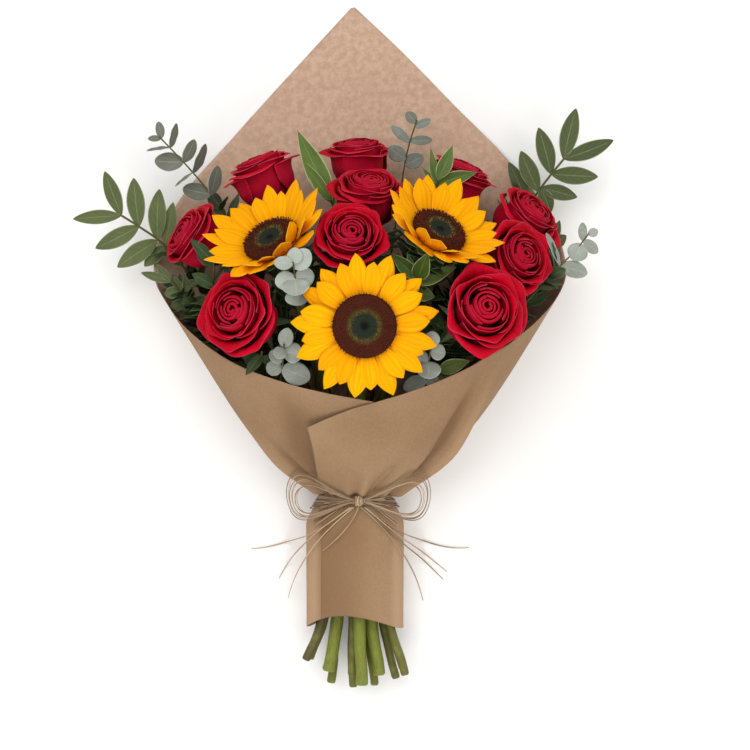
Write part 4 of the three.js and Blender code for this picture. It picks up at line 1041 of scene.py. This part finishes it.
def floret(piece, place, root, way, tall, widths, share, tone):
    """A six-sided bud. widths are its half widths up its height."""
    side = unit(np.cross(way, vec(0.3, 0.9, 0.1)))
    other = np.cross(way, side)
    ring = TAU * np.arange(6) / 6
    levels = np.array(FLORET_LEVELS)
    circle = np.outer(np.cos(ring), side) + np.outer(np.sin(ring), other)
    points = np.stack([root + way * tall * level + wide * circle
                       for level, wide in zip(levels, widths)])
    index = np.arange(24).reshape(4, 6)
    lids = [index[3, [0, 1, 2, 3]], index[3, [0, 3, 4, 5]], index[0, [3, 2, 1, 0]],
            index[0, [5, 4, 3, 0]]]
    spot = np.zeros((4, 6, 4))
    spot[..., 0] = share
    spot[..., 1] = levels[:, None]
    spot[..., 2] = tone
    faces = np.concatenate([grid_faces(index, closed=True), lids])
    piece.add(points @ place[1] + place[0], faces, spot)


def make_disc(name, radius, place, finish, rng):
    """A domed bed, packed with florets in the spirals that they grow in."""
    piece = Piece()
    shares, heights = np.array(BED)
    sides = 40
    angle = TAU * np.arange(sides + 1) / sides
    wide = np.maximum(shares, 0.01) * radius * DISC["bed"]
    grid = np.stack([np.outer(wide, np.cos(angle)), np.outer(wide, np.sin(angle)),
                     np.repeat(heights[:, None], sides + 1, axis=1)], axis=-1)
    piece.shell((grid @ place[1] + place[0])[::-1], 0.6, along=0.0,
                across=np.broadcast_to(shares[::-1, None], grid.shape[:2]))
    for n in range(DISC["florets"]):
        share = math.sqrt((n + 0.5) / DISC["florets"])
        turn = n * GOLDEN_ANGLE + 0.05 * (rng.random() - 0.5)
        facing = vec(math.cos(turn), math.sin(turn), 0)
        root = facing * share * radius * DISC["bed"]
        root[2] = np.interp(share, shares, heights) - 0.4
        opened = share > DISC["open"]
        tilt = 0.6 * smooth(share, 0.75, 1.05) if opened else 0.1
        loose = vec(rng.random() - 0.5, rng.random() - 0.5, 0) * (0.7 if opened else 0.2)
        way = unit(facing * tilt + loose + UP)
        _, least, taller, widths = [kind for kind in FLORETS if share > kind[0]][-1]
        tall = least + taller * rng.random()
        floret(piece, place, root, way, tall, widths, share, rng.random())
    piece.made(f"{name}_florets", [finish], [f"{name}_disc"])


# ------------------------------------------------------------------ stems and leaves


def neck_slots(stems):
    """Where each stem runs in the neck. They jostle for room until no two touch."""
    slots = []
    for stem in stems:
        x, y, z = stem["from"]
        along = max(60, y - NECK["y"])
        slots.append([25 * math.atan2(x - NECK["x"], along),
                      30 * (math.atan2(z - NECK["z"], along) - 0.42)])
    for _ in range(400):
        for i in range(len(slots)):
            for j in range(i + 1, len(slots)):
                dx, dy = slots[j][0] - slots[i][0], slots[j][1] - slots[i][1]
                room = stems[i]["radius"] + stems[j]["radius"] + STEM["gap"]
                apart = math.hypot(dx, dy)
                if apart >= room:
                    continue
                push = (room - apart) / 2 / apart
                slots[i][0] -= dx * push
                slots[i][1] -= dy * push
                slots[j][0] += dx * push
                slots[j][1] += dy * push
        for i, slot in enumerate(slots):
            reach = NECK["half_depth"] - 3.2 - stems[i]["radius"]
            out = math.hypot(*slot)
            if out > reach:
                slot[0] *= reach / out
                slot[1] *= reach / out
    return slots


def stem_path(stem, slot, order):
    def across(spread, y):
        return vec(NECK["x"] + slot[0] * spread[0], y, NECK["z"] + slot[1] * spread[1])

    cut = STEM["cut_y"] - STEM["spread"] * (draw(5, order) - 0.5) + 0.4 * abs(slot[0])
    inside = PAPER["mouth_y"] + lerp(5, 15, draw(5, order))
    if stem["name"] in SPRAYS:
        lower = [across(SPREAD["at_mouth"], inside)]
    else:
        lower = [across(SPREAD["at_cut"], cut), across(SPREAD["at_mouth"], PAPER["mouth_y"] + 5)]
    lower += [across((1, 1), NECK["y"] - 16), across((1, 1), NECK["y"] + 6)]
    start, end = lower[-1], stem["from"]
    first = lerp(start, end, 0.34)
    last = end - stem["axis"] * 0.34 * np.linalg.norm(end - start)
    upper = cubic(start, first, last, end, (0.2, 0.4, 0.6, 0.8, 1.0))
    return [*lower, *upper, *stem.get("onward", [])]


# A leaf's half width follows sin(pi t^a)^b: a sets where it is widest and b how blunt its ends
# are. Then its thickness, how far its edges lift, how its length droops and its cross waves.
LEAVES = {
    "ruscus": (0.95, 0.72, 0.5, 0.14, 0.05, 0.06), "eucalyptus": (1.0, 0.52, 0.5, 0.10, 0.05, 0.04),
    "lance": (0.75, 1.0, 0.5, 0.28, 0.06, 0.05), "rose_leaf": (0.8, 0.85, 0.45, 0.22, 0.08, 0.09),
}
# How pale the leaves of a spray are, where they are not between dark and pale.
PALE = {"eucalyptus_spray_left": 0.0, "eucalyptus_spray_top": 0.3, "eucalyptus_spray_right": 0.55,
        "eucalyptus_spray_middle": 0.85, "eucalyptus_spray_front_left": 0.5,
        "eucalyptus_spray_front_right": 0.5, "striped_leaves_back_left": 0.7, "ruscus_spray_left": 0.55,
        "ruscus_spray_right": 0.35}


def leaf(piece, kind, root, along, across, length, wide, rng, tone, finish=0):
    """A leaf that grows along one direction and spreads across another."""
    widest, blunt, thick, lift, droop, wave = LEAVES[kind]
    face = np.cross(along, across)
    t = (1 - np.cos(np.linspace(0, math.pi, 20))) / 2
    half = np.maximum(wide / 2 * np.abs(np.sin(math.pi * t**widest)) ** blunt, 0.08)
    tt, uu, h = t[:, None], np.linspace(-1, 1, 11)[None, :], half[:, None]
    sideways = uu * h + 0.05 * length * (rng.random() - 0.5) * np.sin(math.pi * tt)
    up = (lift * np.abs(uu) ** 1.4 * h - droop * length * tt**2
          + wave * h * np.sin(TAU * (2.2 * tt + rng.random())) * uu**2 * np.sign(uu))
    up = up - 0.12 * np.exp(-((uu / 0.1) ** 2)) * smooth(tt, 0, 0.1)
    middle = (root + tt[..., None] * length * along + sideways[..., None] * across
              + up[..., None] * face)
    tone = np.clip(tone + 0.25 * (rng.random() - 0.5), 0, 1)
    piece.shell(middle[:, ::-1], thick * lerp(1, 0.5, np.abs(uu)), tone=tone, finish=finish)


def spray_leaf(piece, name, row, rng):
    """One leaf of a spray, from its row in the list."""
    kind, start, end, bow, _ = SPRAYS[name]
    share, to, rise, length, wide, tilt = row
    along = leaning(90 - rise, to)
    across = turned(leaning(90, to + 90), along, math.radians(tilt))
    root = bezier(*spray_line(start, end, bow), 0.96 * share)
    leaf(piece, kind, root, along, across, length, wide, rng, PALE.get(name, 0.45))


# Of the dark leaves on the stem of a head or a spray: how many there are, how far down from the
# head or from the spray's first leaf they begin and end, and their shortest and longest.
FILL = {"head": (28, (7, 70), (22, 38)), "leafy_twig_left": (84, (-30, 76), (15, 28)),
        "rose_leaves_left": (26, (0, 54), (18, 30)), "rose_leaves_front_left": (22, (2, 44), (16, 28)),
        "striped_leaves_front_right": (22, (2, 44), (16, 28)),
        "striped_leaves_middle": (18, (6, 50), (20, 30)), "leafy_twig_right": (20, (0, 50), (14, 24)),
        "striped_leaves_back_right": (26, (2, 54), (18, 30)),
        "eucalyptus_spray_right": (40, (2, 80), (16, 30)),
        "ruscus_spray_left": (36, (4, 84), (18, 30)), "eucalyptus_spray_left": (16, (8, 70), (18, 28)),
        "ruscus_spray_right": (24, (0, 66), (18, 30))}
# How far an undergrowth leaf keeps behind each head, inside the paper and over the table, and how
# many ways of growing it may try.
CLEAR = {"head": 3, "paper": 1, "table": 6, "tries": 12}
# The places on a leaf that are tried: the share of its length, and of its width aside.
PROBES = np.array([[0.35, 0.3], [0.35, -0.3], [0.7, 0.25], [0.7, -0.25], [1, 0]])


def heads():
    """Each head's back: its middle, its axis, how far out it reaches and how much it cups."""
    found = [(*rose_base(rose), 1.05 * rose[3], 0.5) for rose in ROSES]
    for at, lean, to, radius, petal, cup in SUNFLOWERS:
        axis = leaning(lean, to)
        found.append((np.array(at, float) - axis * 8, axis, radius + petal, 0.6 * cup / 40))
    return found


def wrap_samples():
    """Points spread over the paper, and the way out of the bunch at each."""
    u, v = np.linspace(-1, 1, 121), np.linspace(0.2, 1, 60)
    middle = paper_surface(u, v)
    outward = unit(np.cross(np.gradient(middle, axis=0), np.gradient(middle, axis=1)))
    return middle.reshape(-1, 3), outward.reshape(-1, 3)


def is_hidden_below(points, backs, wrap):
    """Whether the points of a leaf lie behind every head and inside the paper."""
    for middle, axis, reach, cupped in backs:
        above = (points - middle) @ axis
        out = np.linalg.norm(points - middle - np.outer(above, axis), axis=1)
        if np.any((out < reach) & (above > -CLEAR["head"] + cupped * np.maximum(0, out - 0.6 * reach))):
            return False
    samples, outward = wrap
    for point in points:
        nearest = int(np.argmin(((samples - point) ** 2).sum(axis=1)))
        if (point - samples[nearest]) @ outward[nearest] > -CLEAR["paper"]:
            return False
    return True


def undergrowth(piece, stem, line, rng, bounds, finish=1):
    """Dark leaves on a stem, under its head or among its sprays."""
    count, span, lengths = FILL["head" if "head" in stem else stem["name"]]
    away = np.linalg.norm(line - stem.get("base", stem["from"]), axis=1)
    foot = int(np.argmin(away))
    along_line = np.concatenate([[0], np.cumsum(np.linalg.norm(np.diff(line, axis=0), axis=1))])
    depth = along_line[foot] - along_line + away[foot]
    for k in range(count):
        down = lerp(*span, (k + 0.5 * rng.random()) / count)
        at = int(np.argmin(np.abs(depth - down)))
        along_stem = unit(line[min(at + 1, len(line) - 1)] - line[at - 1])
        first = unit(np.cross(along_stem, turned(UP, vec(1, 0, 0), TAU * rng.random())))
        for attempt in range(CLEAR["tries"]):
            side = turned(first, along_stem, (k + 2.3 * attempt) * GOLDEN_ANGLE)
            along = unit(side + along_stem * (0.5 + 0.5 * rng.random()))
            across = unit(np.cross(along_stem, along))
            length = lerp(*lengths, rng.random()) * 0.92**attempt
            wide = length * lerp(0.38, 0.5, rng.random())
            root = line[at] + side * stem["radius"] * 0.8
            points = root + PROBES[:, :1] * length * along + PROBES[:, 1:] * wide * across
            if points[:, 2].min() > CLEAR["table"] and is_hidden_below(points, *bounds):
                leaf(piece, "rose_leaf", root, along, across, length, wide, rng,
                     0.7 * rng.random(), finish)
                break


def spray_line(start, end, bow):
    start, end = np.array(start, float), np.array(end, float)
    aside = unit(vec(end[1] - start[1], start[0] - end[0], 0))
    return start, lerp(start, end, 0.5) + aside * bow, end


def spray_stem(name):
    _, start, end, bow, _ = SPRAYS[name]
    a, b, c = spray_line(start, end, bow)
    fan = vec(NECK["x"], NECK["y"], NECK["z"])
    axis = unit(lerp(unit(b - a), unit(a - fan), 0.6))
    return {"name": name, "radius": STEM["spray"], "from": a, "axis": axis,
            "onward": [bezier(a, b, c, 0.5), bezier(a, b, c, 1.0)]}


def all_stems():
    stems = []
    for i, rose in enumerate(ROSES):
        base, axis = rose_base(rose)
        stems.append({"name": f"rose_{i + 1}_stem", "radius": STEM["rose"],
                      "from": base - STEM["under_rose"] * axis, "axis": axis, "base": base, "head": rose[3]})
    for i, (at, lean, to, radius, _, cup) in enumerate(SUNFLOWERS):
        axis = leaning(lean, to)
        base = np.array(at, float) - DISC["deep"] * axis
        stems.append({"name": f"sunflower_{i + 1}_stem", "radius": STEM["sunflower"],
                      "from": base - STEM["under_sunflower"] * axis, "axis": axis, "base": base,
                      "head": radius, "cup": cup})
    stems += [spray_stem(name) for name in SPRAYS]
    for i, (stem, slot) in enumerate(zip(stems, neck_slots(stems))):
        stem["path"] = stem_path(stem, slot, i)
    return stems


def green_cup(piece, stem, heights, radii, sides, tone):
    """The green back of a head, as a tube along its axis."""
    points = np.outer(heights, UP) @ upright_to(stem["axis"]) + stem["base"]
    piece.tube(points, radii, sides, tone=tone)


def green_point(piece, stem, turn, out, up, half, arch, thick, tone):
    """A pointed leaf on the back of a head. arch is how far its edges stand up."""
    u = np.linspace(-1, 1, 7)[None, :]
    flat = about_axis(turn, out, u * half, up + arch * u**2 * half)
    piece.shell(flat @ upright_to(stem["axis"]) + stem["base"], thick, tone=tone, finish=1)


def sepals(piece, stem, rng):
    """The green cup under a rose, and its five sepals that bend back."""
    radius = stem["head"]
    green_cup(piece, stem, (-12, -10, -7.5, -5, -2.5, -0.4),
              (2.6, 3.3, 4.6, 5.6, 6.2, 0.27 * radius), 14, 0.5)
    t = np.linspace(0, 1, 12)[:, None]
    for k in range(5):
        reach = 0.7 * radius * (1 + 0.1 * rng.random())
        up = -1.2 - 3.3 * t - 3 * (rng.random() - 0.3) * t**2
        half = 4.2 * np.maximum((1 - t) ** 0.8, 0.03)
        green_point(piece, stem, TAU * k / 5, 4.5 + (reach - 4.5) * t, up, half, -0.15, 0.5,
                    0.5 * rng.random())


def bracts(piece, stem, rng):
    """The green back of a sunflower and its pointed bracts."""
    radius = stem["head"]
    cup = math.tan(math.radians(min(stem["cup"], 26) - 6))
    green_cup(piece, stem, (-17, -14, -11, -9, -6.5, -3),
              (5.2, 8.5, 0.55 * radius, radius - 4, radius - 1.2, radius - 2), 28, 0.7)
    t = np.linspace(0, 1, 12)[:, None]
    half = 4.0 * np.maximum(np.sin(math.pi * (0.35 + 0.65 * t)), 0.03)
    for k in range(16):
        turn = TAU * (k + 0.3 * rng.random()) / 16
        out = radius - 6 + (11 + 2 * rng.random()) * t
        green_point(piece, stem, turn, out, -8.6 + (2 + 7 * cup) * t**1.3, half, 0.1, 0.6,
                    rng.random())


def stem_line(stem):
    """Points along a stem, closer together at its cut end, and their shares of the way up."""
    count = 64
    line = evenly(spline(np.array(stem["path"]), np.linspace(0, 1, 240)), count)
    near_cut = line[0] + np.outer([0.0, 0.7, 1.6, 3.0], unit(line[1] - line[0]))
    shares = np.concatenate([[0, 0, 0, 0], np.linspace(0, 1, count)[1:]])
    return np.concatenate([near_cut, line[1:]]), shares


def make_spray(stem, finishes, order, bounds):
    """A spray's stem, as thick as a wire where its leaves are, its leaves, and dark ones."""
    name = stem["name"]
    kind, _, _, _, rows = SPRAYS[name]
    rng = np.random.default_rng(300 + order)
    line, _ = stem_line(stem)
    piece = Piece()
    shares = np.linspace(0, 1, len(line))
    radii = STEM["spray"] * lerp(1, 0.55 if kind == "ruscus" else 0.4, smooth(shares, 0.45, 0.85))
    piece.tube(line, radii, 7, tone=0.12 + 0.15 * rng.random(), finish=1)
    for row in rows:
        spray_leaf(piece, name, row, rng)
    if name in FILL:
        undergrowth(piece, stem, line, rng, bounds, 2)
    used = [finishes[kind], finishes["stem"], finishes["rose_leaf"]]
    piece.made(f"{name}_leaves", used, [name])


def make_head_stem(stem, finishes, order, bounds):
    """The stem of a rose or sunflower with its nodes, its green back, and dark leaves."""
    name = stem["name"]
    is_rose = name.startswith("rose")
    rng = np.random.default_rng(300 + order)
    line, shares = stem_line(stem)
    nodes = 1 + 0.06 * np.exp(-(((shares * 9 + rng.random()) % 1 - 0.5) / 0.06) ** 2)
    nodes += 0.04 * np.sin(shares * 37 + TAU * rng.random())
    below = 1 - smooth(line[:, 1], -245, PAPER["mouth_y"])
    line[:, 0] += 1.6 * (rng.random() - 0.5) * below + 0.5 * np.sin(line[:, 1] / 7 + order) * below
    tone = lerp(0.0, 0.75, rng.random()) if is_rose else 0.85
    rounded = np.concatenate([[0.72, 0.9, 0.98], np.ones(len(line) - 3)])
    piece = Piece()
    piece.tube(line, stem["radius"] * nodes * rounded * lerp(1.0, 0.86, shares), 14, tone=tone)
    (sepals if is_rose else bracts)(piece, stem, rng)
    undergrowth(piece, stem, line, rng, bounds)
    piece.made(f"{name}_green", [finishes["stem"], finishes["rose_leaf"]], [name])


# ------------------------------------------------------------------ the whole

make_stage()
raffia = raffia_finish()
make_tails(raffia)
make_binding(raffia)
make_bow(raffia)
make_wrap(kraft_finish())
rose_red = rose_finish()
for number in range(len(ROSES)):
    make_rose(number, rose_red)
yellow, dark_disc = sunflower_petal_finish(), disc_finish()
for number in range(len(SUNFLOWERS)):
    make_sunflower(number, yellow, dark_disc)
greens = {
    "stem": stem_finish(),
    "ruscus": leaf_finish("ruscus_leaves", "364022", "66713f", "8d9a6e", "8a9674", 0.55, 0.12,
                          lit=0.25),
    "eucalyptus": leaf_finish("eucalyptus_leaves", "66685a", "a6aea4", "c3cabf", "c6ccc0", 0.65,
                              0.06, 5, "aab2a6", 0.15),
    "lance": leaf_finish("striped_leaves", "324616", "667f2a", "93a652", "c0c494", 0.42, 0.1, 3,
                         lit=0.2),
    "rose_leaf": leaf_finish("rose_leaves", "1f2f16", "3b5526", "6f8552", "5f7548", 0.5, 0.05),
}
leaf_bounds = (heads(), wrap_samples())
for number, each in enumerate(all_stems()):
    make_one = make_spray if each["name"] in SPRAYS else make_head_stem
    make_one(each, greens, number, leaf_bounds)
